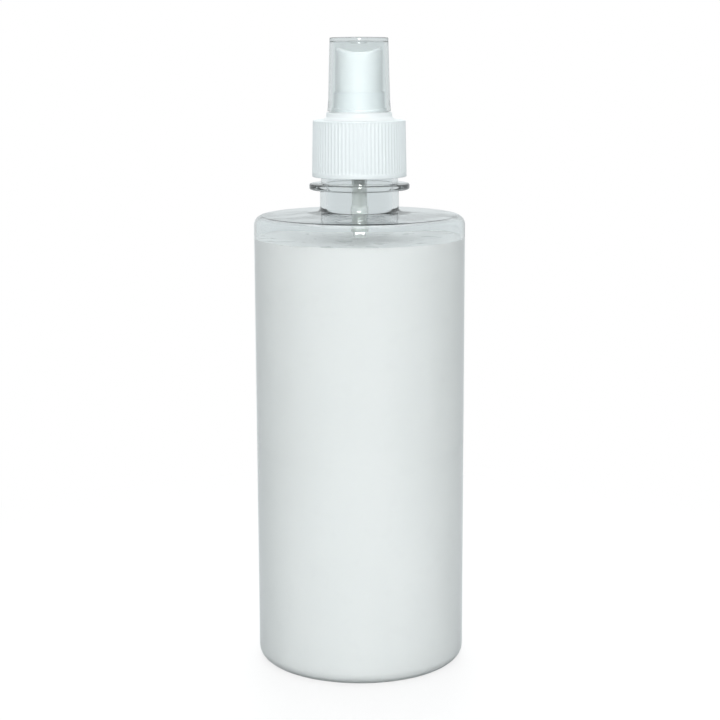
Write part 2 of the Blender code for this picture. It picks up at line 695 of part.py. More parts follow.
def make_actuator(parts, helpers):
    """The finger button: skirt, stem post, scooped top, and a pocket for the nozzle insert."""
    skirt_bore = ACTUATOR_RADIUS - ACTUATOR_WALL
    stem_socket = STEM_RADIUS + GAP
    socket_top = STEM_TOP + GAP
    outline = [
        (0, ACTUATOR_TOP, 0),
        (ACTUATOR_RADIUS, ACTUATOR_TOP, ACTUATOR_EDGE),
        (ACTUATOR_RADIUS, ACTUATOR_FOOT, 0),
        (skirt_bore, ACTUATOR_FOOT, 0),
        (skirt_bore, ACTUATOR_CEILING, 0),
        (ACTUATOR_POST_RADIUS, ACTUATOR_CEILING, 0),
        (ACTUATOR_POST_RADIUS, ACTUATOR_POST_FOOT, 0),
        (stem_socket, ACTUATOR_POST_FOOT, 0),
        (stem_socket, socket_top, 0),
        (FLUID_BORE, socket_top, 0),
        (FLUID_BORE, FLUID_BORE_TOP, 0),
        (0, FLUID_BORE_TOP, 0),
    ]
    actuator = turned("actuator", outline, WIDE_SEGMENTS, parts)
    boss = rod("nozzle_boss", NOZZLE_BOSS_RADIUS, NOZZLE_HEIGHT, NOZZLE_BOSS_REACH,
               ACTUATOR_RADIUS - ACTUATOR_WALL / 2, SMALL_SEGMENTS, helpers)
    channel = rod("fluid_channel", CHANNEL_RADIUS, CHANNEL_HEIGHT, 0, NOZZLE_POCKET_FLOOR + GAP,
                  TINY_SEGMENTS, helpers)
    scoop = rod("finger_scoop", SCOOP_RADIUS, SCOOP_FLOOR + SCOOP_RADIUS, -2 * ACTUATOR_RADIUS,
                2 * ACTUATOR_RADIUS, SCOOP_SEGMENTS, helpers)
    shape_with(actuator, boss, "UNION")
    shape_with(actuator, make_nozzle_pocket(helpers), "DIFFERENCE")
    shape_with(actuator, channel, "DIFFERENCE")
    shape_with(actuator, scoop, "DIFFERENCE")
    finish(actuator, new_material("white_actuator", WHITE_PLASTIC))


def make_nozzle_pocket(helpers):
    """The pocket in the actuator's front, with the swirl post standing in its middle."""
    mouth = ACTUATOR_RADIUS + CUT_BEYOND
    outline = plain([
        (0, mouth),
        (NOZZLE_POCKET_RADIUS, mouth),
        (NOZZLE_POCKET_RADIUS, NOZZLE_POCKET_FLOOR),
        (NOZZLE_POST_RADIUS, NOZZLE_POCKET_FLOOR),
        (NOZZLE_POST_RADIUS, NOZZLE_POST_END),
        (0, NOZZLE_POST_END),
    ])
    pocket = turned("nozzle_pocket", outline, SMALL_SEGMENTS, helpers)
    face_forward(pocket, NOZZLE_HEIGHT)
    return pocket


def make_nozzle_insert(parts):
    """The small cup pressed in round the swirl post, with the spray orifice in its face."""
    face_back = NOZZLE_FACE - NOZZLE_FACE_THICKNESS
    foot = NOZZLE_POCKET_FLOOR + GAP
    outline = plain([
        (ORIFICE_RADIUS, NOZZLE_FACE),
        (NOZZLE_RADIUS, NOZZLE_FACE),
        (NOZZLE_RADIUS, foot),
        (NOZZLE_BORE, foot),
        (NOZZLE_BORE, face_back),
        (ORIFICE_RADIUS, face_back),
    ])
    nozzle = turned("nozzle_insert", outline, SMALL_SEGMENTS, parts)
    face_forward(nozzle, NOZZLE_HEIGHT)
    finish(nozzle, new_material("white_nozzle", WHITE_PLASTIC))


def make_overcap(parts):
    """The clear overcap: a slightly tapered cup with a flared foot and a gate boss inside."""
    outline = [
        (0, OVERCAP_TOP, 0),
        (OVERCAP_TOP_RADIUS, OVERCAP_TOP - OVERCAP_CROWN, OVERCAP_EDGE),
        (OVERCAP_SKIRT_RADIUS, OVERCAP_SKIRT_HEIGHT, 0),
        (OVERCAP_FOOT_RADIUS, OVERCAP_FOOT, 0),
        (OVERCAP_FOOT_BORE, OVERCAP_FOOT, 0),
        (OVERCAP_TOP_BORE, OVERCAP_CEILING, OVERCAP_EDGE),
        (GATE_BOSS_RADIUS, OVERCAP_CEILING, 0),
        (GATE_BOSS_RADIUS, GATE_BOSS_FOOT, 0),
        (0, GATE_BOSS_FOOT, 0),
    ]
    overcap = turned("overcap", outline, WIDE_SEGMENTS, parts)
    finish(overcap, new_material("clear_overcap", FROSTED_PLASTIC))


def main():
    clear_scene()
    parts = new_collection("spray_bottle")
    helpers = new_collection("cutters")
    make_bottle(parts, helpers)
    make_liquid(parts)
    make_closure(parts, helpers)
    make_gasket(parts)
    make_housing(parts, helpers)
    make_dip_tube(parts)
    make_inlet_ball(parts)
    make_spring(parts)
    make_piston(parts)
    make_stem(parts)
    make_stem_plug(parts)
    make_collar(parts)
    make_actuator(parts, helpers)
    make_nozzle_insert(parts)
    make_overcap(parts)


main()
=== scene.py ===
"""The looks of a fine-mist spray bottle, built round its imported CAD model.

Lengths are in millimetres until MM turns them into Blender's metres, but for the camera, lamps and
floor, which are in metres. +Z is up, the bottle stands on Z = 0, every piece but the nozzle is round
about the Z axis, and the nozzle sprays along +Y, away from the camera.
"""

import math

import bpy
import numpy as np
from mathutils import Matrix, Vector


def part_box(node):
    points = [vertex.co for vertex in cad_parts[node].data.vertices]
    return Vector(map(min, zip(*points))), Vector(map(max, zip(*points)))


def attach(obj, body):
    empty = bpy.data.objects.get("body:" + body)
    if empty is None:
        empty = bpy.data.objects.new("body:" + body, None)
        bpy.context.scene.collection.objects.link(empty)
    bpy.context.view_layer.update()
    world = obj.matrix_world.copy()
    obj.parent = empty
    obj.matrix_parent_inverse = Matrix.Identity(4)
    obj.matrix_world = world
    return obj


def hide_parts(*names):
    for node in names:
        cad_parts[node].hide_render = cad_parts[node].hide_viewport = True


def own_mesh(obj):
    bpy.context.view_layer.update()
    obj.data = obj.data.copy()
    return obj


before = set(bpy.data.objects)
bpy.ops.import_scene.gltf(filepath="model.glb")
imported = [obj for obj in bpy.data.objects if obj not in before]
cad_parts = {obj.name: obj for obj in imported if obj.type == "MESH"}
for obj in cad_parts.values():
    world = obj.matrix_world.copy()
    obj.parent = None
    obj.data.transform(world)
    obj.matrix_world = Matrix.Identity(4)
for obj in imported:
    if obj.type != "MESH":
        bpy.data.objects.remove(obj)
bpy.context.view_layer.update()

MM = 0.001


def extent(node):
    """A CAD node's largest radius, its lowest height and its highest height."""
    low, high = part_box(node)
    return high.x / MM, low.z / MM, high.z / MM


# Corner radii that the moulded parts share
SHARP_EDGE = 0.1
FINE_EDGE = 0.15
SMALL_EDGE = 0.2
SOFT_EDGE = 0.3
WIDE_EDGE = 0.4

# Bottle
BODY_RADIUS, _, NECK_RIM = extent("bottle")
BODY_WALL = 0.6
BASE_WALL = 0.9
HEEL_FILLET = 3.5
STANDING_RING_INNER = 28.0
BASE_PUSH_UP = 5.0
SHOULDER_EDGE = 148.25
SHOULDER_TOP = 149.7
SHOULDER_FILLET = 3.0
SHOULDER_WALL = 0.6
THROAT_RADIUS = 12.8
THROAT_FILLET = 1.2
THROAT_BORE_FILLET = 2.4
SUPPORT_RING_RADIUS = 16.25
SUPPORT_RING_BOTTOM = 156.8
SUPPORT_RING_TOP = 158.6
SUPPORT_RING_EDGE = 0.45
NECK_ROOT_RADIUS = 12.5
NECK_BORE_RADIUS = 10.85
GATE_SCAR_RADIUS = 2.2
GATE_SCAR_FOOT_RADIUS = 1.76
GATE_SCAR_HEIGHT = 0.5
GATE_SCAR_DIMPLE_RADIUS = 0.88
GATE_SCAR_DIMPLE_DEPTH = 0.2

# Screw thread: right-handed, six turns per inch. The closure's runs half a pitch under the neck's.
THREAD_PITCH = 25.4 / 6
NECK_THREAD_HEIGHT = 1.0
NECK_THREAD_TURNS = 1.5
NECK_THREAD_END = 172.95
NECK_THREAD_FOOT = NECK_THREAD_END - NECK_THREAD_TURNS * THREAD_PITCH
NECK_THREAD_INSIDE = NECK_ROOT_RADIUS - 0.4
NECK_THREAD_BELOW = SUPPORT_RING_TOP + 0.5
CLOSURE_THREAD_HEIGHT = 0.8
CLOSURE_THREAD_TURNS = 1.0
CLOSURE_THREAD_START = 0.15
CLOSURE_THREAD_FOOT = NECK_THREAD_FOOT + (CLOSURE_THREAD_START - 0.5) * THREAD_PITCH
THREAD_CREST = 0.3
THREAD_FLANK = 0.8
THREAD_RUN_OUT = 0.12

# Liquid
_, _, LIQUID_LEVEL = extent("liquid")
LIQUID_WETTING = 0.15
MENISCUS_RISE = 0.5
TUBE_MENISCUS_RISE = 0.4
MENISCUS_FADE = 0.6
WELL_CLEARANCE = 0.06
WELL_DEPTH = 0.3

# Closure. A rib power under 1 makes the ribs narrower than the valleys.
CLOSURE_FOOT_RADIUS, CLOSURE_FOOT, CLOSURE_TOP = extent("screw_closure")
CLOSURE_TOP_RADIUS = 14.95
CLOSURE_BORE = 14.0
CLOSURE_BORE_MARGIN = 0.05
CLOSURE_LEAD_IN = 0.6
CLOSURE_LEAD_IN_HEIGHT = 0.9
CLOSURE_DECK_THICKNESS = 1.2
CLOSURE_DECK_HOLE = 9.0
CLOSURE_EDGE = 0.6
CLOSURE_FOOT_EDGE = 0.25
CLOSURE_FOOT_BAND = 1.2
DECK_FOOT = CLOSURE_TOP - CLOSURE_DECK_THICKNESS
RIB_COUNT = 75
RIB_DEPTH = 0.2
RIB_POWER = 0.7
RIB_RUN_OUT = 0.5
POINTS_PER_RIB = 10

# Collar
COLLAR_FLANGE_RADIUS = 10.55
COLLAR_FLARE_RADIUS, _, COLLAR_SLEEVE_TOP = extent("pump_collar")
COLLAR_FOOT = CLOSURE_TOP + 0.03
COLLAR_FLARE_TOP_RADIUS = COLLAR_FLANGE_RADIUS + 0.15
COLLAR_FLARE_TOP = COLLAR_FOOT + 0.9
COLLAR_FLARE_FILLET = 0.5
COLLAR_FLANGE_TOP = 181.5
COLLAR_FLANGE_EDGE = 0.35
COLLAR_SEAT_RADIUS = 8.75
COLLAR_SEAT_TOP = 182.6
COLLAR_SEAT_EDGE = 0.25
COLLAR_SLEEVE_RADIUS = 8.15
COLLAR_SLEEVE_BORE = 7.8
COLLAR_FLOOR_TOP = 180.2
COLLAR_CEILING = 179.0
COLLAR_SPIGOT_RADIUS = 8.7
COLLAR_PLUG_RADIUS = 5.6
COLLAR_PLUG_FOOT = 175.3
COLLAR_PLUG_BORE = 3.3
COLLAR_STEM_BORE = 2.05

# Pump
GASKET_RADIUS, GASKET_FOOT, GASKET_TOP = extent("neck_gasket")
GASKET_BORE = 8.0
FLANGE_RADIUS, SOCKET_FOOT, FLANGE_TOP = extent("pump_housing")
FLANGE_THICKNESS = 1.2
FLANGE_FOOT = FLANGE_TOP - FLANGE_THICKNESS
MOUTH_BORE = 5.9
MOUTH_RADIUS = 7.2
MOUTH_LEDGE = 175.0
MOUTH_FOOT = 173.8
CHAMBER_BORE = 3.9
CHAMBER_RADIUS = 4.8
CHAMBER_FLOOR = 162.4
TAIL_BORE = 1.9
TAIL_RADIUS = 2.5
SPRING_LEDGE = 153.3
BALL_CAGE_BORE = 1.4
BALL_SEAT_TOP = 151.9
BALL_SEAT_BOTTOM = 151.0
BALL_SEAT_HOLE = 0.7
SOCKET_STOP = 149.9
SOCKET_BORE = 2.3
SOCKET_RADIUS = 2.9
VENT_RADIUS = 0.4
VENT_HEIGHT = 169.0
TUBE_RADIUS, TUBE_FOOT, TUBE_TOP = extent("dip_tube")
TUBE_BORE = 1.4
TUBE_EDGE = 0.08
TUBE_CUT = 1.2
BALL_RADIUS, BALL_FOOT, _ = extent("inlet_ball")
_, SPRING_FOOT, SPRING_TOP = extent("return_spring")
SPRING_WIRE_RADIUS = 0.225
SPRING_RADIUS = 1.42
SPRING_TURNS = 17
SPRING_CLOSE_LOOSENESS = 1.04
SPRING_CLOSE_PITCH = 2 * SPRING_WIRE_RADIUS * SPRING_CLOSE_LOOSENESS
SPRING_CLOSE_TURNS = 0.8
SPRING_OPEN_TURNS = 1.6
PISTON_RADIUS, PISTON_FOOT, PISTON_TOP = extent("piston")
PISTON_BORE = 2.05
PISTON_HUB = 2.7
PISTON_WAIST = 3.3
PISTON_LIP_DEPTH = 1.0
PISTON_LIP_EDGE = 0.2
PISTON_LIP_FILLET = 0.05
STEM_SHOULDER_RADIUS, STEM_FOOT, STEM_TOP = extent("pump_stem")
STEM_RADIUS = 1.75
STEM_BORE = 1.15
STEM_SHOULDER_FOOT = 175.9
STEM_SHOULDER_TOP = 177.6
PLUG_FLANGE_RADIUS, PLUG_FOOT, PLUG_TOP = extent("stem_plug")
PLUG_FLANGE_FOOT = 169.9
PLUG_FLANGE_TOP = 171.1
PLUG_PIN_RADIUS = 0.8
PLUG_PIN_EDGE = 0.25
PLUG_GUIDE_RADIUS = 0.95

# Actuator and nozzle. Along the nozzle, lengths run from the Z axis.
ACTUATOR_RADIUS, ACTUATOR_FOOT, _ = extent("actuator")
ACTUATOR_TOP = 202.5
ACTUATOR_WALL = 0.9
ACTUATOR_EDGE = 1.0
ACTUATOR_CEILING = 198.9
POST_RADIUS = 3.3
POST_FOOT = 188.2
STEM_SOCKET = 2.05
STEM_SOCKET_TOP = 196.8
FLUID_BORE = 0.9
FLUID_BORE_TOP = 198.8
SCOOP_RADIUS = 16.0
SCOOP_FLOOR = 200.6
SCOOP_BLEND_FOOT = 199.0
NOZZLE_HEIGHT = 197.0
BOSS_RADIUS = 3.2
BOSS_START = 2.5
BOSS_END = ACTUATOR_RADIUS - ACTUATOR_WALL / 2
POCKET_RADIUS = 2.25
POCKET_FLOOR = 4.2
POCKET_FLARE_RADIUS = 3.55
POCKET_FLARE_START = ACTUATOR_RADIUS - 0.55
POCKET_END = ACTUATOR_RADIUS + 1
SWIRL_POST_RADIUS = 0.9
SWIRL_POST_END = 6.0
NOZZLE_RADIUS = 1.95
NOZZLE_BORE = 1.3
NOZZLE_FACE = 7.3
NOZZLE_FOOT = 4.5
NOZZLE_FACE_BACK = 6.7
ORIFICE_RADIUS = 0.2
ORIFICE_EDGE = 0.04
DISH_FLOOR = NOZZLE_FACE - 0.25
DISH_RADIUS = 0.75
DISH_RIM = NOZZLE_FACE - 0.1
DISH_RIM_RADIUS = 1.0

# Overcap
_, OVERCAP_FOOT, OVERCAP_TOP = extent("overcap")
OVERCAP_FOOT_RADIUS = 10.25
OVERCAP_SKIRT_RADIUS = 9.95
OVERCAP_SKIRT_HEIGHT = 185.2
OVERCAP_SKIRT_FILLET = 3.0
OVERCAP_TOP_RADIUS = 9.4
OVERCAP_CROWN = 0.2
OVERCAP_EDGE = 0.4
OVERCAP_BORE_EDGE = 0.3
OVERCAP_FOOT_BORE = 9.1
OVERCAP_TOP_BORE = 8.35
OVERCAP_CEILING = 203.9
GATE_NIB_RADIUS = 0.5
GATE_NIB_TOP = OVERCAP_TOP - 0.15
GATE_DIMPLE_RADIUS = 0.9
GATE_DIMPLE_FLOOR = OVERCAP_TOP - 0.25
GATE_RIM_RADIUS = 1.5
GATE_BOSS_RADIUS = 2.6
GATE_BOSS_FOOT = 203.3

# How finely shapes are cut
BOTTLE_SEGMENTS = 192
WIDE_SEGMENTS = 160
SMALL_SEGMENTS = 96
FINE_SEGMENTS = SMALL_SEGMENTS // 2
TINY_SEGMENTS = SMALL_SEGMENTS // 4
FILLET_STEPS = 6
DOME_STEPS = 24
SURFACE_STEPS = 48
BALL_STEPS = 24
WALL_STEP = 4.0
TUBE_STEP = 1.5
MOULDED_STEP = 1.0
BUTTON_STEP = 0.4
THREAD_STEP = 0.18
CLOSURE_STEP = THREAD_STEP * 1.5
SPRING_STEPS = 40
SPRING_SIDES = 12
SMOOTH_ANGLE = math.radians(35)

# Materials: each has a dark and a light tone, and noise moves between the two.
# Lamplight takes the lamp tint as it shines through a clear piece.
NOISE_LOW = 0.3
NOISE_HIGH = 0.7
PET_TONES = ((0.925, 0.945, 0.95), (0.945, 0.96, 0.965))
PET_LAMP_TINT = (0.72, 0.73, 0.73)
PET_IOR = 1.57
OVERCAP_TONES = ((0.90, 0.925, 0.925), (0.93, 0.95, 0.95))
OVERCAP_LAMP_TINT = (0.64, 0.66, 0.66)
PLASTIC_IOR = 1.49
LIQUID_TONES = ((0.775, 0.79, 0.783), (0.795, 0.807, 0.80))
LIQUID_IOR = 1.36
FOAM_TONES = ((0.76, 0.77, 0.72), (0.84, 0.85, 0.80))
MILKY_DARK_SHARE = 0.96
MILKY_LAMP_SHARE = 0.95
STEEL_DARK_SHARE = 0.85

# White plastics: dark tone, light tone, roughness, and depth of grain in millimetres
CLOSURE_WHITE = ((0.765, 0.815, 0.825), (0.785, 0.83, 0.84), 0.45, 0.001)
COLLAR_WHITE = ((0.80, 0.835, 0.845), (0.82, 0.85, 0.855), 0.45, 0.0006)
ACTUATOR_WHITE = ((0.84, 0.87, 0.875), (0.86, 0.885, 0.89), 0.45, 0.0006)
ACETAL_WHITE = ((0.88, 0.885, 0.87), (0.91, 0.915, 0.90), 0.3, 0.001)
NOZZLE_WHITE = ((0.86, 0.87, 0.87), (0.89, 0.90, 0.90), 0.3, 0.001)
SOFT_WHITE = ((0.82, 0.83, 0.79), (0.86, 0.87, 0.83), 0.5, 0.004)

# Milky plastics: tint, roughness, and how much light goes through
HOUSING_MILKY = ((0.90, 0.93, 0.91), 0.08, 0.72)
TUBE_MILKY = ((0.90, 0.92, 0.91), 0.14, 0.45)

# Steels: colour, roughness, scale of the marks per metre, and how far they stretch along Z
BALL_STEEL = ((0.72, 0.72, 0.73), 0.08, 900, 1)
WIRE_STEEL = ((0.66, 0.69, 0.66), 0.3, 4000, 0.2)

# Camera, in metres and degrees
CAMERA_PLACE = (0, -0.559, 0.2017)
CAMERA_PITCH = 10.275
CAMERA_ROLL = -0.19
CAMERA_LENS = 86
CAMERA_SENSOR = 36

# Lamps, in metres and watts
LAMP_AIM = (0, 0, 0.12)
KEY_PLACE = (0, -1.2, 0.49)
KEY_SIZE = 0.22
KEY_POWER = 8.7
TOP_PLACE = (0, 0.1, 1.5)
TOP_SIZE = 1.2
TOP_POWER = 8.0
RIM_PLACE = (0, 1.0, 1.0)
RIM_SIZE = 0.6
RIM_POWER = 7.5

# Room: its depth runs from 0 on the camera's side to 1 on the far side. The front colour holds up
# to the first depth, and the back colour from the second.
ROOM_DEPTHS = (0.48, 0.70)
ROOM_COLORS = ((0.47, 0.49, 0.495), (0.74, 0.78, 0.79))

# Floor, in metres. What the camera sees of it fades into white over one pair of distances from the
# bottle's axis, and what light meets of it fades away over the other pair. What light and reflections
# meet is a darker grey copy of the paper: painted shade in the bottle's reflections and bounce light.
FLOOR_RADIUS = 6
FLOOR_SIDES = 128
FLOOR_COLOR = (0.9, 0.9, 0.9, 1)
FLOOR_ROUGHNESS = 0.9
FLOOR_SEEN_FADE = (0.035, 0.25)
FLOOR_LEAST_GLOW = 0.75
# Painted shade: the grey that reflections and bounce light meet, darker than the white the camera sees
SHADED_PAPER_COLOR = (0.60, 0.62, 0.63, 1)
SHADED_PAPER_FADE = (0.15, 0.45)
WHITE = (1, 1, 1, 1)


# ---------------------------------------------------------------- Outlines

def rounded(corners):
    """Turns an outline's corners (radius, height, fillet) into points, with an arc at each fillet."""
    points = []
    for index, (radius, height, fillet) in enumerate(corners):
        corner = Vector((radius, height))
        if fillet == 0:
            points.append(corner)
            continue
        before = (Vector(corners[index - 1][:2]) - corner).normalized()
        after = (Vector(corners[(index + 1) % len(corners)][:2]) - corner).normalized()
        half_angle = before.angle(after) / 2
        centre = corner + (before + after).normalized() * fillet / math.sin(half_angle)
        spoke = corner + before * fillet / math.tan(half_angle) - centre
        turn = math.copysign(math.pi - 2 * half_angle, after.cross(before))
        for step in range(FILLET_STEPS + 1):
            points.append(centre + Matrix.Rotation(turn * step / FILLET_STEPS, 2) @ spoke)
    return points


def divided(points, longest, closed=False):
    """Adds points along an outline's runs, so that no run is longer than a length."""
    ends = points[1:] + points[:1] if closed else points[1:]
    result = [] if closed else [points[0]]
    for start, end in zip(points, ends):
        parts = max(1, math.ceil((end - start).length / longest))
        result += [start.lerp(end, part / parts) for part in range(1, parts + 1)]
    return result


def smooth_step(value, start, end):
    """Rises smoothly from 0 at start to 1 at end."""
    share = np.clip((value - start) / (end - start), 0, 1)
    return share * share * (3 - 2 * share)


# ---------------------------------------------------------------- Meshes

def new_object(name, vertices, faces):
    """Makes an object from vertices in millimetres, shaded smooth but for its hard edges."""
    mesh = bpy.data.meshes.new(name)
    mesh.from_pydata([tuple(vertex) for vertex in np.array(vertices) * MM], [], faces)
    mesh.shade_smooth()
    mesh.set_sharp_from_angle(angle=SMOOTH_ANGLE)
    obj = bpy.data.objects.new(name, mesh)
    bpy.context.scene.collection.objects.link(obj)
    return obj


def turned(name, points, segments, warp=None):
    """Turns an outline about Z. It runs down the outer side, and closes on the axis or on itself.

    A warp takes the radius, angle and height of every point, and returns new radii and heights.
    """
    angle = np.arange(segments) * math.tau / segments
    radius = np.repeat([[point.x] for point in points], segments, axis=1)
    height = np.repeat([[point.y] for point in points], segments, axis=1)
    if warp:
        radius, height = warp(radius, angle, height)
    vertices = np.dstack((radius * np.cos(angle), radius * np.sin(angle), height)).reshape(-1, 3)
    rings = np.arange(len(vertices)).reshape(len(points), segments)
    on_axis = [index for index, point in enumerate(points) if point.x == 0]
    for index in on_axis:
        rings[index] = rings[index][0]
    used, renumbered = np.unique(rings, return_inverse=True)
    rings = renumbered.reshape(rings.shape)
    pairs = list(zip(rings, rings[1:]))
    if not on_axis:
        pairs.append((rings[-1], rings[0]))
    faces = []
    for upper, lower in pairs:
        for step in range(segments):
            after = (step + 1) % segments
            corners = (upper[step], lower[step], lower[after], upper[after])
            faces.append([int(corner) for corner in dict.fromkeys(corners)])
    return new_object(name, vertices[used], faces)


def swept(name, centres, radius, sides):
    """Makes a round wire along a path round Z, closed at both ends."""
    centres = np.array(centres)
    along = np.gradient(centres, axis=0)
    along /= np.linalg.norm(along, axis=1, keepdims=True)
    outward = centres * (1, 1, 0)
    outward /= np.linalg.norm(outward, axis=1, keepdims=True)
    across = np.cross(along, outward)
    vertices = []
    for side in range(sides):
        turn = math.tau * side / sides
        vertices.append(centres + radius * (math.cos(turn) * outward + math.sin(turn) * across))
    vertices = np.stack(vertices, axis=1).reshape(-1, 3)
    faces = []
    for index in range(len(centres) - 1):
        for side in range(sides):
            after = (side + 1) % sides
            start = index * sides
            end = start + sides
            faces.append((start + side, start + after, end + after, end + side))
    last = len(vertices) - sides
    faces.append(tuple(reversed(range(sides))))
    faces.append(tuple(range(last, last + sides)))
    return new_object(name, vertices, faces)


def combine(obj, helper, operation):
    """Cuts a helper's volume out of an object, or joins it on, and removes the helper."""
    modifier = obj.modifiers.new(operation, "BOOLEAN")
    modifier.object = helper
    modifier.operation = operation
    modifier.solver = "EXACT"
    bpy.context.view_layer.update()
    evaluated = obj.evaluated_get(bpy.context.evaluated_depsgraph_get())
    mesh = bpy.data.meshes.new_from_object(evaluated)
    obj.modifiers.clear()
    obj.data = mesh
    mesh.shade_smooth()
    mesh.set_sharp_from_angle(angle=SMOOTH_ANGLE)
    bpy.data.objects.remove(helper, do_unlink=True)


def lay_along_y(obj, height):
    """Turns a mesh that was made about Z so that it lies along +Y at a height."""
    lift = Matrix.Translation((0, 0, height * MM))
    obj.data.transform(lift @ Matrix.Rotation(-math.pi / 2, 4, "X"))


def thread_rise(angle, height, foot, start, turns):
    """How far a thread stands up, from 0 to 1, at an angle and a height on its wall."""
    rise = np.zeros(np.broadcast(angle, height).shape)
    for lap in range(math.ceil(start + turns)):
        turn = angle / math.tau + lap
        along = turn - start
        offset = np.abs(height - foot - along * THREAD_PITCH)
        crest = 1 - smooth_step(offset, THREAD_CREST, THREAD_CREST + THREAD_FLANK)
        ends = smooth_step(along, 0, THREAD_RUN_OUT) * smooth_step(turns - along, 0, THREAD_RUN_OUT)
        rise = np.maximum(rise, crest * ends)
    return rise


# ---------------------------------------------------------------- Materials

def add(tree, kind, inputs=None, **settings):
    """Adds a node with its settings and the values of its inputs."""
    new = tree.nodes.new(kind)
    for name, value in settings.items():
        setattr(new, name, value)
    for name, value in (inputs or {}).items():
        new.inputs[name].default_value = value
    return new


def new_material(name):
    """Makes a node material and returns it with its tree and its shader."""
    material = bpy.data.materials.new(name)
    material.use_nodes = True
    tree = material.node_tree
    return material, tree, tree.nodes["Principled BSDF"]


def noise(tree, scale, detail=4, stretch=1):
    """Gives noise of a scale per metre, which can be stretched along Z."""
    coordinates = add(tree, "ShaderNodeTexCoord")
    mapping = add(tree, "ShaderNodeMapping", {"Scale": (1, 1, 1 / stretch)})
    texture = add(tree, "ShaderNodeTexNoise", {"Scale": scale, "Detail": detail})
    tree.links.new(coordinates.outputs["Object"], mapping.inputs["Vector"])
    tree.links.new(mapping.outputs["Vector"], texture.inputs["Vector"])
    return texture.outputs["Fac"]


def between(tree, value, low, high):
    """Maps noise on to a range."""
    ends = {"From Min": NOISE_LOW, "From Max": NOISE_HIGH, "To Min": low, "To Max": high}
    mapped = add(tree, "ShaderNodeMapRange", ends)
    tree.links.new(value, mapped.inputs["Value"])
    return mapped.outputs["Result"]


def blended(tree, value, dark, light, ends=(NOISE_LOW, NOISE_HIGH)):
    """Maps a value between two ends on to the colours between two."""
    ramp = add(tree, "ShaderNodeValToRGB")
    for element, position, color in zip(ramp.color_ramp.elements, ends, (dark, light)):
        element.position = position
        element.color = (*color, 1)
    tree.links.new(value, ramp.inputs["Fac"])
    return ramp.outputs["Color"]


def dimmed(color, share):
    """A colour with each of its parts multiplied by a share."""
    return [part * share for part in color]


def bump(tree, shader, height, distance):
    """Raises a shader's surface by a height, where distance is in millimetres."""
    raised = add(tree, "ShaderNodeBump", {"Distance": distance * MM, "Strength": 1.0})
    tree.links.new(height, raised.inputs["Height"])
    if shader.inputs["Normal"].is_linked:
        earlier = shader.inputs["Normal"].links[0].from_socket
        tree.links.new(earlier, raised.inputs["Normal"])
    tree.links.new(raised.outputs["Normal"], shader.inputs["Normal"])


def mixed(tree, share, first, second):
    """Mixes two shaders by a share, which is 0 for the first and 1 for the second."""
    mix = add(tree, "ShaderNodeMixShader")
    tree.links.new(share, mix.inputs["Fac"])
    tree.links.new(first, mix.inputs[1])
    tree.links.new(second, mix.inputs[2])
    return mix.outputs["Shader"]


def let_lamps_through(tree, shader, tint):
    """Lets lamps shine through a clear material, without the dark shadow that glass would throw."""
    ray = add(tree, "ShaderNodeLightPath")
    through = add(tree, "ShaderNodeBsdfTransparent", {"Color": (*tint, 1)})
    both = mixed(tree, ray.outputs["Is Shadow Ray"], shader.outputs["BSDF"], through.outputs["BSDF"])
    tree.links.new(both, tree.nodes["Material Output"].inputs["Surface"])


def clear_pet():
    """Blown PET: clear and glossy, a little grey-blue, with a faintly uneven wall."""
    material, tree, shader = new_material("clear_pet")
    tint = blended(tree, noise(tree, scale=90, stretch=6), *PET_TONES)
    tree.links.new(tint, shader.inputs["Base Color"])
    tree.links.new(between(tree, noise(tree, scale=260), 0.0, 0.03), shader.inputs["Roughness"])
    shader.inputs["IOR"].default_value = PET_IOR
    shader.inputs["Transmission Weight"].default_value = 1
    bump(tree, shader, noise(tree, scale=55, detail=2, stretch=5), distance=0.05)
    bump(tree, shader, noise(tree, scale=1800, detail=2), distance=0.0006)
    let_lamps_through(tree, shader, PET_LAMP_TINT)
    return material


def clear_overcap():
    """Clear polypropylene: slightly hazy and grey-green."""
    material, tree, shader = new_material("clear_polypropylene")
    tint = blended(tree, noise(tree, scale=120, stretch=3), *OVERCAP_TONES)
    tree.links.new(tint, shader.inputs["Base Color"])
    tree.links.new(between(tree, noise(tree, scale=400), 0.05, 0.10), shader.inputs["Roughness"])
    shader.inputs["IOR"].default_value = PLASTIC_IOR
    shader.inputs["Specular IOR Level"].default_value = 0.2
    shader.inputs["Transmission Weight"].default_value = 1
    bump(tree, shader, noise(tree, scale=90, detail=2, stretch=4), distance=0.03)
    let_lamps_through(tree, shader, OVERCAP_LAMP_TINT)
    return material


def milky_liquid():
    """White lotion: opaque and smooth, with faint clouds in it."""
    material, tree, shader = new_material("milky_liquid")
    color = blended(tree, noise(tree, scale=28, detail=5, stretch=2.5), *LIQUID_TONES)
    tree.links.new(color, shader.inputs["Base Color"])
    tree.links.new(between(tree, noise(tree, scale=150), 0.25, 0.35), shader.inputs["Roughness"])
    shader.inputs["IOR"].default_value = LIQUID_IOR
    shader.inputs["Specular IOR Level"].default_value = 0.15
    return material


def white_plastic(name, dark, light, roughness, grain):
    """Moulded white plastic, with a fine grain and a slow change of tone."""
    material, tree, shader = new_material(name)
    color = blended(tree, noise(tree, scale=70, detail=5), dark, light)
    tree.links.new(color, shader.inputs["Base Color"])
    rough = between(tree, noise(tree, scale=500), roughness - 0.05, roughness + 0.05)
    tree.links.new(rough, shader.inputs["Roughness"])
    shader.inputs["IOR"].default_value = PLASTIC_IOR
    bump(tree, shader, noise(tree, scale=2600, detail=3), distance=grain)
    bump(tree, shader, noise(tree, scale=220, detail=2), distance=grain * 3)
    return material


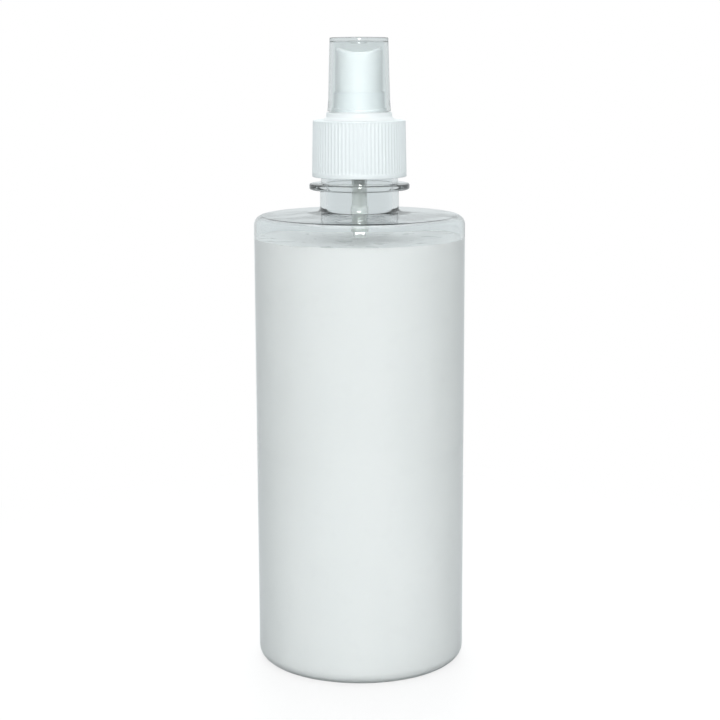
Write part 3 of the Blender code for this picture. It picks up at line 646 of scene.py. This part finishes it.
def milky_plastic(name, tint, roughness, transmission):
    """Natural, uncoloured plastic, which light passes through without showing much behind it."""
    material, tree, shader = new_material(name)
    color = blended(tree, noise(tree, scale=300, stretch=3), dimmed(tint, MILKY_DARK_SHARE), tint)
    tree.links.new(color, shader.inputs["Base Color"])
    rough = between(tree, noise(tree, scale=700), roughness - 0.06, roughness + 0.06)
    tree.links.new(rough, shader.inputs["Roughness"])
    shader.inputs["IOR"].default_value = PLASTIC_IOR
    shader.inputs["Transmission Weight"].default_value = transmission
    bump(tree, shader, noise(tree, scale=900, detail=2, stretch=6), distance=0.001)
    let_lamps_through(tree, shader, dimmed(tint, MILKY_LAMP_SHARE))
    return material


def foam_rubber():
    """Soft closed-cell foam: matt, with small cells."""
    material, tree, shader = new_material("foam_gasket")
    coordinates = add(tree, "ShaderNodeTexCoord")
    cells = add(tree, "ShaderNodeTexVoronoi", {"Scale": 2600})
    tree.links.new(coordinates.outputs["Object"], cells.inputs["Vector"])
    color = blended(tree, noise(tree, scale=900), *FOAM_TONES)
    tree.links.new(color, shader.inputs["Base Color"])
    shader.inputs["Roughness"].default_value = 0.85
    bump(tree, shader, cells.outputs["Distance"], distance=0.08)
    return material


def steel(name, color, roughness, scale, stretch):
    """Stainless steel with fine drawing or polishing marks."""
    material, tree, shader = new_material(name)
    stains = noise(tree, scale, detail=6, stretch=stretch)
    tone = blended(tree, stains, dimmed(color, STEEL_DARK_SHARE), color)
    tree.links.new(tone, shader.inputs["Base Color"])
    shader.inputs["Metallic"].default_value = 1
    marks = noise(tree, scale * 2, stretch=stretch)
    tree.links.new(between(tree, marks, roughness * 0.6, roughness * 1.4), shader.inputs["Roughness"])
    bump(tree, shader, marks, distance=0.002)
    return material


# ---------------------------------------------------------------- Pieces

def place(piece, material, body, node):
    """Gives a piece its material, and puts it on its body in place of its CAD node."""
    piece.data.materials.clear()
    piece.data.materials.append(material)
    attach(piece, body)
    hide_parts(node)


def base_dome(lift):
    """Outlines the pushed-up base from the standing ring in to the axis, lifted by a height."""
    points = []
    for step in range(DOME_STEPS, -1, -1):
        reach = step / DOME_STEPS
        height = BASE_PUSH_UP * (1 - reach ** 2) + lift
        points.append(Vector((STANDING_RING_INNER * reach, height)))
    return points


def bottle_bore(widening):
    """Outlines the bottle's inside from the base's centre to the neck's bore, moved into the wall."""
    radius = BODY_RADIUS - BODY_WALL + widening
    floor = BASE_WALL - widening
    heel = HEEL_FILLET - BODY_WALL + widening
    corners = [
        (STANDING_RING_INNER, floor, 0),
        (radius, floor, heel),
        (radius, SHOULDER_EDGE - SHOULDER_WALL, SHOULDER_FILLET - BODY_WALL),
        (NECK_BORE_RADIUS, SHOULDER_TOP - SHOULDER_WALL, THROAT_BORE_FILLET),
        (NECK_BORE_RADIUS, NECK_RIM, 0),
    ]
    return list(reversed(base_dome(floor)))[:-1] + rounded(corners)


def make_bottle():
    """The blown bottle, with its neck thread, support ring, pushed-up base and gate scar."""
    # The first corner is where the bore ends, so it only gives the next one's fillet its direction.
    outside = rounded([
        (NECK_BORE_RADIUS, NECK_RIM, 0),
        (NECK_ROOT_RADIUS, NECK_RIM, SOFT_EDGE),
        (NECK_ROOT_RADIUS, SUPPORT_RING_TOP, WIDE_EDGE),
        (SUPPORT_RING_RADIUS, SUPPORT_RING_TOP, SUPPORT_RING_EDGE),
        (SUPPORT_RING_RADIUS, SUPPORT_RING_BOTTOM, SUPPORT_RING_EDGE),
        (THROAT_RADIUS, SUPPORT_RING_BOTTOM, WIDE_EDGE),
        (THROAT_RADIUS, SHOULDER_TOP, THROAT_FILLET),
        (BODY_RADIUS, SHOULDER_EDGE, SHOULDER_FILLET),
        (BODY_RADIUS, 0, HEEL_FILLET),
        (STANDING_RING_INNER, 0, 0),
    ])[1:]
    base = [point for point in base_dome(0)[1:] if point.x > GATE_SCAR_RADIUS]
    scar_foot = BASE_PUSH_UP - GATE_SCAR_HEIGHT
    scar = rounded([
        (GATE_SCAR_RADIUS, BASE_PUSH_UP, 0),
        (GATE_SCAR_FOOT_RADIUS, scar_foot, FINE_EDGE),
        (GATE_SCAR_DIMPLE_RADIUS, scar_foot, 0),
        (0, scar_foot + GATE_SCAR_DIMPLE_DEPTH, 0),
    ])
    outline = divided(bottle_bore(0) + outside + base + scar, WALL_STEP)
    outline = finer_between(outline, NECK_THREAD_BELOW, NECK_RIM, NECK_THREAD_INSIDE)
    return turned("clear_bottle", outline, BOTTLE_SEGMENTS, neck_thread)


def finer_between(points, foot, top, least_radius):
    """Divides the runs of an outline finely between two heights and outside a radius."""
    result = [points[0]]
    for start, end in zip(points, points[1:]):
        inside = min(start.y, end.y) < top and max(start.y, end.y) > foot
        if inside and min(start.x, end.x) > least_radius:
            result += divided([start, end], THREAD_STEP)[1:]
        else:
            result.append(end)
    return result


def neck_thread(radius, angle, height):
    """Raises the thread on the outside of the neck."""
    rise = thread_rise(angle, height, NECK_THREAD_FOOT, 0, NECK_THREAD_TURNS)
    outside = (radius > NECK_THREAD_INSIDE) & (height > NECK_THREAD_BELOW)
    return radius + np.where(outside, rise * NECK_THREAD_HEIGHT, 0), height


def make_liquid():
    """The liquid: it wets the wall, and climbs a little way up it and up the dip tube."""
    radius = BODY_RADIUS - BODY_WALL + LIQUID_WETTING
    well = TUBE_RADIUS + WELL_CLEARANCE
    well_floor = TUBE_FOOT - WELL_DEPTH
    surface = []
    for step in range(SURFACE_STEPS + 1):
        share = (1 - math.cos(math.pi * step / SURFACE_STEPS)) / 2
        spot = well + (radius - well) * share
        wall_climb = MENISCUS_RISE * math.exp((spot - radius) / MENISCUS_FADE)
        tube_climb = TUBE_MENISCUS_RISE * math.exp((well - spot) / MENISCUS_FADE)
        surface.append(Vector((spot, LIQUID_LEVEL + wall_climb + tube_climb)))
    wall = [point for point in bottle_bore(LIQUID_WETTING) if point.y < LIQUID_LEVEL]
    well_foot = [Vector((0, well_floor)), Vector((well, well_floor))]
    outline = well_foot + surface + list(reversed(wall))
    return turned("milky_lotion", divided(outline, WALL_STEP), BOTTLE_SEGMENTS)


def make_closure():
    """The screw closure: ribbed outside, threaded inside, open in the middle of its deck."""
    outline = rounded([
        (CLOSURE_DECK_HOLE, CLOSURE_TOP, FINE_EDGE),
        (CLOSURE_TOP_RADIUS, CLOSURE_TOP, CLOSURE_EDGE),
        (CLOSURE_FOOT_RADIUS, CLOSURE_FOOT, CLOSURE_FOOT_EDGE),
        (CLOSURE_BORE + CLOSURE_LEAD_IN, CLOSURE_FOOT, 0),
        (CLOSURE_BORE, CLOSURE_FOOT + CLOSURE_LEAD_IN_HEIGHT, SMALL_EDGE),
        (CLOSURE_BORE, DECK_FOOT, SOFT_EDGE),
        (CLOSURE_DECK_HOLE, DECK_FOOT, FINE_EDGE),
    ])
    outline = divided(outline, CLOSURE_STEP, closed=True)
    return turned("ribbed_closure", outline, RIB_COUNT * POINTS_PER_RIB, ribs_and_thread)


def ribs_and_thread(radius, angle, height):
    """Sinks the valleys between the closure's ribs, and raises the thread in its bore."""
    rib_foot = CLOSURE_FOOT + CLOSURE_FOOT_BAND
    rib_top = CLOSURE_TOP - CLOSURE_EDGE / 2
    valley = ((1 - np.cos(angle * RIB_COUNT)) / 2) ** RIB_POWER
    band = smooth_step(height, rib_foot, rib_foot + RIB_RUN_OUT)
    band = band * smooth_step(rib_top - height, 0, RIB_RUN_OUT)
    outside = radius > CLOSURE_TOP_RADIUS - CLOSURE_EDGE
    sunk = np.where(outside, valley * band * RIB_DEPTH, 0)
    rise = thread_rise(angle, height, CLOSURE_THREAD_FOOT, CLOSURE_THREAD_START, CLOSURE_THREAD_TURNS)
    bore = np.abs(radius - CLOSURE_BORE) < CLOSURE_BORE_MARGIN
    raised = np.where(bore, rise * CLOSURE_THREAD_HEIGHT, 0)
    return radius - sunk - raised, height


def make_collar():
    """The collar over the closure: flared flange, seat ring, guide sleeve, and a plug below."""
    outline = rounded([
        (COLLAR_STEM_BORE, COLLAR_FLOOR_TOP, SHARP_EDGE),
        (COLLAR_SLEEVE_BORE, COLLAR_FLOOR_TOP, SOFT_EDGE),
        (COLLAR_SLEEVE_BORE, COLLAR_SLEEVE_TOP, SHARP_EDGE),
        (COLLAR_SLEEVE_RADIUS, COLLAR_SLEEVE_TOP, FINE_EDGE),
        (COLLAR_SLEEVE_RADIUS, COLLAR_SEAT_TOP, FINE_EDGE),
        (COLLAR_SEAT_RADIUS, COLLAR_SEAT_TOP, COLLAR_SEAT_EDGE),
        (COLLAR_SEAT_RADIUS, COLLAR_FLANGE_TOP, SHARP_EDGE),
        (COLLAR_FLANGE_RADIUS, COLLAR_FLANGE_TOP, COLLAR_FLANGE_EDGE),
        (COLLAR_FLARE_TOP_RADIUS, COLLAR_FLARE_TOP, COLLAR_FLARE_FILLET),
        (COLLAR_FLARE_RADIUS, COLLAR_FOOT, 0),
        (COLLAR_SPIGOT_RADIUS, COLLAR_FOOT, 0),
        (COLLAR_SPIGOT_RADIUS, DECK_FOOT, SMALL_EDGE),
        (COLLAR_PLUG_RADIUS, DECK_FOOT, 0),
        (COLLAR_PLUG_RADIUS, COLLAR_PLUG_FOOT, SOFT_EDGE),
        (COLLAR_PLUG_BORE, COLLAR_PLUG_FOOT, SMALL_EDGE),
        (COLLAR_PLUG_BORE, COLLAR_CEILING, SMALL_EDGE),
        (COLLAR_STEM_BORE, COLLAR_CEILING, SHARP_EDGE),
    ])
    return turned("guide_collar", divided(outline, MOULDED_STEP, closed=True), WIDE_SEGMENTS)


def make_gasket():
    """The flat foam ring under the housing's flange."""
    outline = rounded([
        (GASKET_BORE, GASKET_TOP, SMALL_EDGE),
        (GASKET_RADIUS, GASKET_TOP, SMALL_EDGE),
        (GASKET_RADIUS, GASKET_FOOT, SMALL_EDGE),
        (GASKET_BORE, GASKET_FOOT, SMALL_EDGE),
    ])
    return turned("foam_gasket", outline, WIDE_SEGMENTS)


def make_housing():
    """The pump housing: flange, mouth, piston chamber, spring tail, ball seat and tube socket."""
    slope = CHAMBER_BORE - TAIL_BORE
    bore_slope_top = CHAMBER_FLOOR + slope * 3 / 4
    mouth_slope = (MOUTH_RADIUS - CHAMBER_RADIUS) / 2
    outline = rounded([
        (MOUTH_BORE, FLANGE_TOP, SMALL_EDGE),
        (FLANGE_RADIUS, FLANGE_TOP, SMALL_EDGE),
        (FLANGE_RADIUS, FLANGE_FOOT, SMALL_EDGE),
        (MOUTH_RADIUS, FLANGE_FOOT, SOFT_EDGE),
        (MOUTH_RADIUS, MOUTH_FOOT, SOFT_EDGE),
        (CHAMBER_RADIUS, MOUTH_FOOT - mouth_slope, SOFT_EDGE),
        (CHAMBER_RADIUS, CHAMBER_FLOOR + slope / 2, WIDE_EDGE),
        (TAIL_RADIUS, CHAMBER_FLOOR - slope / 2, WIDE_EDGE),
        (TAIL_RADIUS, BALL_SEAT_TOP, SMALL_EDGE),
        (SOCKET_RADIUS, BALL_SEAT_BOTTOM, SMALL_EDGE),
        (SOCKET_RADIUS, SOCKET_FOOT, FINE_EDGE),
        (SOCKET_BORE, SOCKET_FOOT, FINE_EDGE),
        (SOCKET_BORE, SOCKET_STOP, 0),
        (BALL_SEAT_HOLE, SOCKET_STOP, 0),
        (BALL_SEAT_HOLE, BALL_SEAT_BOTTOM, 0),
        (BALL_CAGE_BORE, BALL_SEAT_TOP, SHARP_EDGE),
        (BALL_CAGE_BORE, SPRING_LEDGE, SHARP_EDGE),
        (TAIL_BORE, SPRING_LEDGE, 0),
        (TAIL_BORE, CHAMBER_FLOOR, SOFT_EDGE),
        (CHAMBER_BORE, bore_slope_top, SOFT_EDGE),
        (CHAMBER_BORE, MOUTH_LEDGE, SHARP_EDGE),
        (MOUTH_BORE, MOUTH_LEDGE, SMALL_EDGE),
    ])
    housing = turned("mist_pump_housing", divided(outline, MOULDED_STEP, closed=True), SMALL_SEGMENTS)
    drill = turned("vent_drill", rounded([
        (0, MOUTH_RADIUS, 0),
        (VENT_RADIUS, MOUTH_RADIUS, 0),
        (VENT_RADIUS, 0, 0),
        (0, 0, 0),
    ]), TINY_SEGMENTS)
    lay_along_y(drill, VENT_HEIGHT)
    combine(housing, drill, "DIFFERENCE")
    return housing


def make_tube():
    """The dip tube, cut at a slant at its foot."""
    outline = rounded([
        (TUBE_BORE, TUBE_TOP, TUBE_EDGE),
        (TUBE_RADIUS, TUBE_TOP, TUBE_EDGE),
        (TUBE_RADIUS, TUBE_FOOT, TUBE_EDGE),
        (TUBE_BORE, TUBE_FOOT, TUBE_EDGE),
    ])
    return turned("suction_tube", divided(outline, TUBE_STEP, closed=True), FINE_SEGMENTS, slanted_foot)


def slanted_foot(radius, angle, height):
    """Lifts one side of the dip tube's foot."""
    lift = TUBE_CUT * (1 + radius * np.cos(angle) / TUBE_RADIUS) / 2
    near_foot = 1 - smooth_step(height, TUBE_FOOT + TUBE_EDGE, TUBE_FOOT + 3 * TUBE_CUT)
    return radius, height + lift * near_foot


def make_ball():
    """The inlet ball."""
    centre = BALL_FOOT + BALL_RADIUS
    outline = []
    for step in range(BALL_STEPS + 1):
        turn = math.pi * step / BALL_STEPS
        radius = 0 if step in (0, BALL_STEPS) else BALL_RADIUS * math.sin(turn)
        outline.append(Vector((radius, centre + BALL_RADIUS * math.cos(turn))))
    return turned("check_ball", outline, FINE_SEGMENTS)


def make_spring():
    """The return spring, wound close at both ends."""
    foot = SPRING_FOOT + SPRING_WIRE_RADIUS
    height = SPRING_TOP - SPRING_FOOT - 2 * SPRING_WIRE_RADIUS
    turn = np.arange(SPRING_TURNS * SPRING_STEPS + 1) / SPRING_STEPS
    from_end = np.minimum(turn, SPRING_TURNS - turn)
    opened = smooth_step(from_end, SPRING_CLOSE_TURNS, SPRING_OPEN_TURNS)
    climb = np.concatenate(([0], np.cumsum(opened[1:])))
    close = turn * SPRING_CLOSE_PITCH
    rise = close + climb / climb[-1] * (height - close[-1])
    angle = turn * math.tau
    centres = np.column_stack((SPRING_RADIUS * np.cos(angle), SPRING_RADIUS * np.sin(angle), foot + rise))
    return swept("coil_spring", centres, SPRING_WIRE_RADIUS, SPRING_SIDES)


def make_piston():
    """The piston: a hub round the stem with a thin sealing lip at each end."""
    lip_root = PISTON_RADIUS - PISTON_LIP_EDGE
    waist = PISTON_LIP_DEPTH + 2 * PISTON_LIP_EDGE
    half = [
        (PISTON_BORE, PISTON_TOP, SHARP_EDGE),
        (PISTON_HUB, PISTON_TOP, SHARP_EDGE),
        (PISTON_HUB, PISTON_TOP - PISTON_LIP_DEPTH, FINE_EDGE),
        (lip_root, PISTON_TOP, PISTON_LIP_FILLET),
        (PISTON_RADIUS, PISTON_TOP, PISTON_LIP_FILLET),
        (PISTON_RADIUS, PISTON_TOP - PISTON_LIP_EDGE, PISTON_LIP_FILLET),
        (PISTON_WAIST, PISTON_TOP - waist, SMALL_EDGE),
    ]
    middle = PISTON_TOP + PISTON_FOOT
    other = [(radius, middle - height, fillet) for radius, height, fillet in reversed(half)]
    return turned("sealing_piston", rounded(half + other), SMALL_SEGMENTS)


def make_stem():
    """The hollow stem, with the shoulder that pushes the piston."""
    outline = rounded([
        (STEM_BORE, STEM_TOP, SHARP_EDGE),
        (STEM_RADIUS, STEM_TOP, SMALL_EDGE),
        (STEM_RADIUS, STEM_SHOULDER_TOP, SMALL_EDGE),
        (STEM_SHOULDER_RADIUS, STEM_SHOULDER_TOP, SMALL_EDGE),
        (STEM_SHOULDER_RADIUS, STEM_SHOULDER_FOOT, SMALL_EDGE),
        (STEM_RADIUS, STEM_SHOULDER_FOOT, SHARP_EDGE),
        (STEM_RADIUS, STEM_FOOT, SHARP_EDGE),
        (STEM_BORE, STEM_FOOT, SHARP_EDGE),
    ])
    return turned("hollow_stem", divided(outline, MOULDED_STEP, closed=True), SMALL_SEGMENTS)


def make_plug():
    """The plug in the stem's foot: pin, flange on the spring, and guide inside it."""
    outline = rounded([
        (0, PLUG_TOP, 0),
        (PLUG_PIN_RADIUS, PLUG_TOP, PLUG_PIN_EDGE),
        (PLUG_PIN_RADIUS, PLUG_FLANGE_TOP, SHARP_EDGE),
        (PLUG_FLANGE_RADIUS, PLUG_FLANGE_TOP, FINE_EDGE),
        (PLUG_FLANGE_RADIUS, PLUG_FLANGE_FOOT, FINE_EDGE),
        (PLUG_GUIDE_RADIUS, PLUG_FLANGE_FOOT, SHARP_EDGE),
        (PLUG_GUIDE_RADIUS, PLUG_FOOT, SOFT_EDGE),
        (0, PLUG_FOOT, 0),
    ])
    return turned("stem_foot_plug", divided(outline, MOULDED_STEP), SMALL_SEGMENTS)


def make_actuator():
    """The finger button: scooped top, skirt, stem post, and the pocket for the nozzle."""
    skirt_bore = ACTUATOR_RADIUS - ACTUATOR_WALL
    outline = rounded([
        (0, ACTUATOR_TOP, 0),
        (ACTUATOR_RADIUS, ACTUATOR_TOP, ACTUATOR_EDGE),
        (ACTUATOR_RADIUS, ACTUATOR_FOOT, SMALL_EDGE),
        (skirt_bore, ACTUATOR_FOOT, SMALL_EDGE),
        (skirt_bore, ACTUATOR_CEILING, WIDE_EDGE),
        (POST_RADIUS, ACTUATOR_CEILING, SOFT_EDGE),
        (POST_RADIUS, POST_FOOT, SMALL_EDGE),
        (STEM_SOCKET, POST_FOOT, SMALL_EDGE),
        (STEM_SOCKET, STEM_SOCKET_TOP, SHARP_EDGE),
        (FLUID_BORE, STEM_SOCKET_TOP, 0),
        (FLUID_BORE, FLUID_BORE_TOP, 0),
        (0, FLUID_BORE_TOP, 0),
    ])
    actuator = turned("finger_actuator", divided(outline, BUTTON_STEP), WIDE_SEGMENTS, finger_scoop)
    boss = turned("nozzle_boss", rounded([
        (0, BOSS_END, 0),
        (BOSS_RADIUS, BOSS_END, 0),
        (BOSS_RADIUS, BOSS_START, 0),
        (0, BOSS_START, 0),
    ]), SMALL_SEGMENTS)
    lay_along_y(boss, NOZZLE_HEIGHT)
    combine(actuator, boss, "UNION")
    pocket = turned("nozzle_pocket", rounded([
        (0, POCKET_END, 0),
        (POCKET_FLARE_RADIUS, POCKET_END, 0),
        (POCKET_RADIUS, POCKET_FLARE_START, FINE_EDGE),
        (POCKET_RADIUS, POCKET_FLOOR, SHARP_EDGE),
        (SWIRL_POST_RADIUS, POCKET_FLOOR, 0),
        (SWIRL_POST_RADIUS, SWIRL_POST_END, SHARP_EDGE),
        (0, SWIRL_POST_END, 0),
    ]), SMALL_SEGMENTS)
    lay_along_y(pocket, NOZZLE_HEIGHT)
    combine(actuator, pocket, "DIFFERENCE")
    return actuator


def finger_scoop(radius, angle, height):
    """Sinks the top of the actuator in a shallow trough along Y."""
    across = radius * np.cos(angle)
    trough = SCOOP_FLOOR + SCOOP_RADIUS - np.sqrt(SCOOP_RADIUS ** 2 - across ** 2)
    share = smooth_step(height, SCOOP_BLEND_FOOT, ACTUATOR_TOP - ACTUATOR_EDGE / 2)
    return radius, height + (trough - ACTUATOR_TOP) * share


def make_nozzle():
    """The small cup in the actuator's pocket, with the spray orifice in its dished face."""
    outline = rounded([
        (ORIFICE_RADIUS, DISH_FLOOR, ORIFICE_EDGE),
        (DISH_RADIUS, DISH_RIM, SHARP_EDGE),
        (DISH_RIM_RADIUS, NOZZLE_FACE, SHARP_EDGE),
        (NOZZLE_RADIUS, NOZZLE_FACE, SMALL_EDGE),
        (NOZZLE_RADIUS, NOZZLE_FOOT, FINE_EDGE),
        (NOZZLE_BORE, NOZZLE_FOOT, SHARP_EDGE),
        (NOZZLE_BORE, NOZZLE_FACE_BACK, SHARP_EDGE),
        (ORIFICE_RADIUS, NOZZLE_FACE_BACK, 0),
    ])
    nozzle = turned("spray_nozzle", divided(outline, BUTTON_STEP, closed=True), SMALL_SEGMENTS)
    lay_along_y(nozzle, NOZZLE_HEIGHT)
    return nozzle


def make_overcap():
    """The clear overcap: tapered, with a flared foot, a thick rim and a gate boss under its top."""
    outline = rounded([
        (0, GATE_NIB_TOP, 0),
        (GATE_NIB_RADIUS, GATE_NIB_TOP, 0),
        (GATE_DIMPLE_RADIUS, GATE_DIMPLE_FLOOR, SHARP_EDGE),
        (GATE_RIM_RADIUS, OVERCAP_TOP, SMALL_EDGE),
        (OVERCAP_TOP_RADIUS, OVERCAP_TOP - OVERCAP_CROWN, OVERCAP_EDGE),
        (OVERCAP_SKIRT_RADIUS, OVERCAP_SKIRT_HEIGHT, OVERCAP_SKIRT_FILLET),
        (OVERCAP_FOOT_RADIUS, OVERCAP_FOOT, SMALL_EDGE),
        (OVERCAP_FOOT_BORE, OVERCAP_FOOT, SMALL_EDGE),
        (OVERCAP_TOP_BORE, OVERCAP_CEILING, OVERCAP_BORE_EDGE),
        (GATE_BOSS_RADIUS, OVERCAP_CEILING, SMALL_EDGE),
        (GATE_BOSS_RADIUS, GATE_BOSS_FOOT, SMALL_EDGE),
        (0, GATE_BOSS_FOOT, 0),
    ])
    return turned("clear_cap", divided(outline, MOULDED_STEP), WIDE_SEGMENTS)


def make_pieces():
    """Makes every piece of the object and puts each on its body."""
    acetal = white_plastic("white_acetal", *ACETAL_WHITE)
    place(make_bottle(), clear_pet(), "bottle", "bottle")
    place(make_liquid(), milky_liquid(), "bottle", "liquid")
    closure_white = white_plastic("white_closure", *CLOSURE_WHITE)
    place(make_closure(), closure_white, "closure", "screw_closure")
    collar_white = white_plastic("white_collar", *COLLAR_WHITE)
    place(make_collar(), collar_white, "pump", "pump_collar")
    place(make_gasket(), foam_rubber(), "pump", "neck_gasket")
    housing_milky = milky_plastic("milky_polypropylene", *HOUSING_MILKY)
    place(make_housing(), housing_milky, "pump", "pump_housing")
    tube_milky = milky_plastic("milky_polyethylene", *TUBE_MILKY)
    place(make_tube(), tube_milky, "pump", "dip_tube")
    place(make_ball(), steel("polished_steel", *BALL_STEEL), "inlet_ball", "inlet_ball")
    spring = make_spring()
    place(spring, steel("drawn_steel", *WIRE_STEEL), "pump", "return_spring")
    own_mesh(spring)
    piston_white = white_plastic("soft_polyethylene", *SOFT_WHITE)
    place(make_piston(), piston_white, "piston", "piston")
    place(make_stem(), acetal, "stem", "pump_stem")
    place(make_plug(), acetal, "stem", "stem_plug")
    actuator_white = white_plastic("white_actuator", *ACTUATOR_WHITE)
    place(make_actuator(), actuator_white, "actuator", "actuator")
    nozzle_white = white_plastic("white_nozzle", *NOZZLE_WHITE)
    place(make_nozzle(), nozzle_white, "actuator", "nozzle_insert")
    place(make_overcap(), clear_overcap(), "overcap", "overcap")


# ---------------------------------------------------------------- Stage

def make_camera():
    """The camera, a little below the top of the cap and looking slightly down."""
    data = bpy.data.cameras.new("camera")
    data.lens = CAMERA_LENS
    data.sensor_width = CAMERA_SENSOR
    camera = bpy.data.objects.new("camera", data)
    bpy.context.scene.collection.objects.link(camera)
    camera.location = CAMERA_PLACE
    view = Matrix.Rotation(math.radians(90 - CAMERA_PITCH), 3, "X")
    camera.rotation_euler = (view @ Matrix.Rotation(math.radians(CAMERA_ROLL), 3, "Z")).to_euler()
    bpy.context.scene.camera = camera


def make_lamp(name, place_m, size, power):
    """A square soft lamp that points at the bottle.

    Clear pieces already pass its light on to what is in them, so rays that have gone through a clear
    piece don't see it, or its light would count twice.
    """
    data = bpy.data.lights.new(name, "AREA")
    data.shape = "SQUARE"
    data.size = size
    data.energy = power
    lamp = bpy.data.objects.new(name, data)
    bpy.context.scene.collection.objects.link(lamp)
    lamp.location = place_m
    direction = Vector(LAMP_AIM) - Vector(place_m)
    lamp.rotation_euler = direction.to_track_quat("-Z", "Y").to_euler()
    lamp.visible_transmission = False
    return lamp


def camera_sees(tree, seen, felt):
    """Shows one shader to the camera, and another to every other ray."""
    ray = add(tree, "ShaderNodeLightPath")
    return mixed(tree, ray.outputs["Is Camera Ray"], felt, seen)


def make_world():
    """A white backdrop for the camera, and for the object a room that is bright behind it."""
    world = bpy.data.worlds.new("studio")
    bpy.context.scene.world = world
    world.use_nodes = True
    tree = world.node_tree
    direction = add(tree, "ShaderNodeTexCoord")
    split = add(tree, "ShaderNodeSeparateXYZ")
    tree.links.new(direction.outputs["Generated"], split.inputs["Vector"])
    depth = add(tree, "ShaderNodeMapRange", {"From Min": -1.0, "From Max": 1.0})
    tree.links.new(split.outputs["Y"], depth.inputs["Value"])
    walls = blended(tree, depth.outputs["Result"], *ROOM_COLORS, ROOM_DEPTHS)
    room = tree.nodes["Background"]
    room.inputs["Strength"].default_value = 1.0
    tree.links.new(walls, room.inputs["Color"])
    backdrop = add(tree, "ShaderNodeBackground", {"Color": WHITE, "Strength": 1.0})
    surface = camera_sees(tree, backdrop.outputs["Background"], room.outputs["Background"])
    tree.links.new(surface, tree.nodes["World Output"].inputs["Surface"])


def faded(tree, distance, ends, low=0.0):
    """Rises smoothly from low to 1 as a distance goes from one end to the other."""
    near, far = ends
    limits = {"From Min": near, "From Max": far, "To Min": low, "To Max": 1.0}
    fade = add(tree, "ShaderNodeMapRange", limits, interpolation_type="SMOOTHSTEP")
    tree.links.new(distance, fade.inputs["Value"])
    return fade.outputs["Result"]


def pale_paper():
    """White paper that fades into the backdrop. Light meets only the part near the bottle, as painted
    shade.
    """
    material, tree, shader = new_material("pale_floor")
    shader.inputs["Base Color"].default_value = FLOOR_COLOR
    shader.inputs["Roughness"].default_value = FLOOR_ROUGHNESS
    shader.inputs["Specular IOR Level"].default_value = 0
    coordinates = add(tree, "ShaderNodeTexCoord")
    length = add(tree, "ShaderNodeVectorMath", operation="LENGTH")
    tree.links.new(coordinates.outputs["Object"], length.inputs[0])
    distance = length.outputs["Value"]
    glow = add(tree, "ShaderNodeEmission", {"Color": WHITE, "Strength": 1.0})
    seen_fade = faded(tree, distance, FLOOR_SEEN_FADE, FLOOR_LEAST_GLOW)
    seen = mixed(tree, seen_fade, shader.outputs["BSDF"], glow.outputs["Emission"])
    # Painted shade: light and reflections meet a darker grey copy of the white paper the camera sees.
    shaded_paper = add(tree, "ShaderNodeBsdfDiffuse", {"Color": SHADED_PAPER_COLOR})
    open_air = add(tree, "ShaderNodeBsdfTransparent")
    shaded_paper_fade = faded(tree, distance, SHADED_PAPER_FADE)
    felt = mixed(tree, shaded_paper_fade, shaded_paper.outputs["BSDF"], open_air.outputs["BSDF"])
    surface = camera_sees(tree, seen, felt)
    tree.links.new(surface, tree.nodes["Material Output"].inputs["Surface"])
    return material


def make_floor():
    """A plain pale floor."""
    bpy.ops.mesh.primitive_circle_add(vertices=FLOOR_SIDES, radius=FLOOR_RADIUS, fill_type="NGON")
    floor = bpy.context.object
    floor.name = "floor"
    floor.data.materials.append(pale_paper())


def make_stage():
    """The camera, the room, the floor and the lamps.

    Glossy surfaces don't mirror the rim lamp, because it would sparkle in the shoulder.
    """
    make_camera()
    make_world()
    make_floor()
    make_lamp("key", KEY_PLACE, KEY_SIZE, KEY_POWER)
    make_lamp("overhead", TOP_PLACE, TOP_SIZE, TOP_POWER)
    rim = make_lamp("rim", RIM_PLACE, RIM_SIZE, RIM_POWER)
    rim.visible_glossy = False
    bpy.context.scene.view_settings.view_transform = "Standard"


make_pieces()
make_stage()
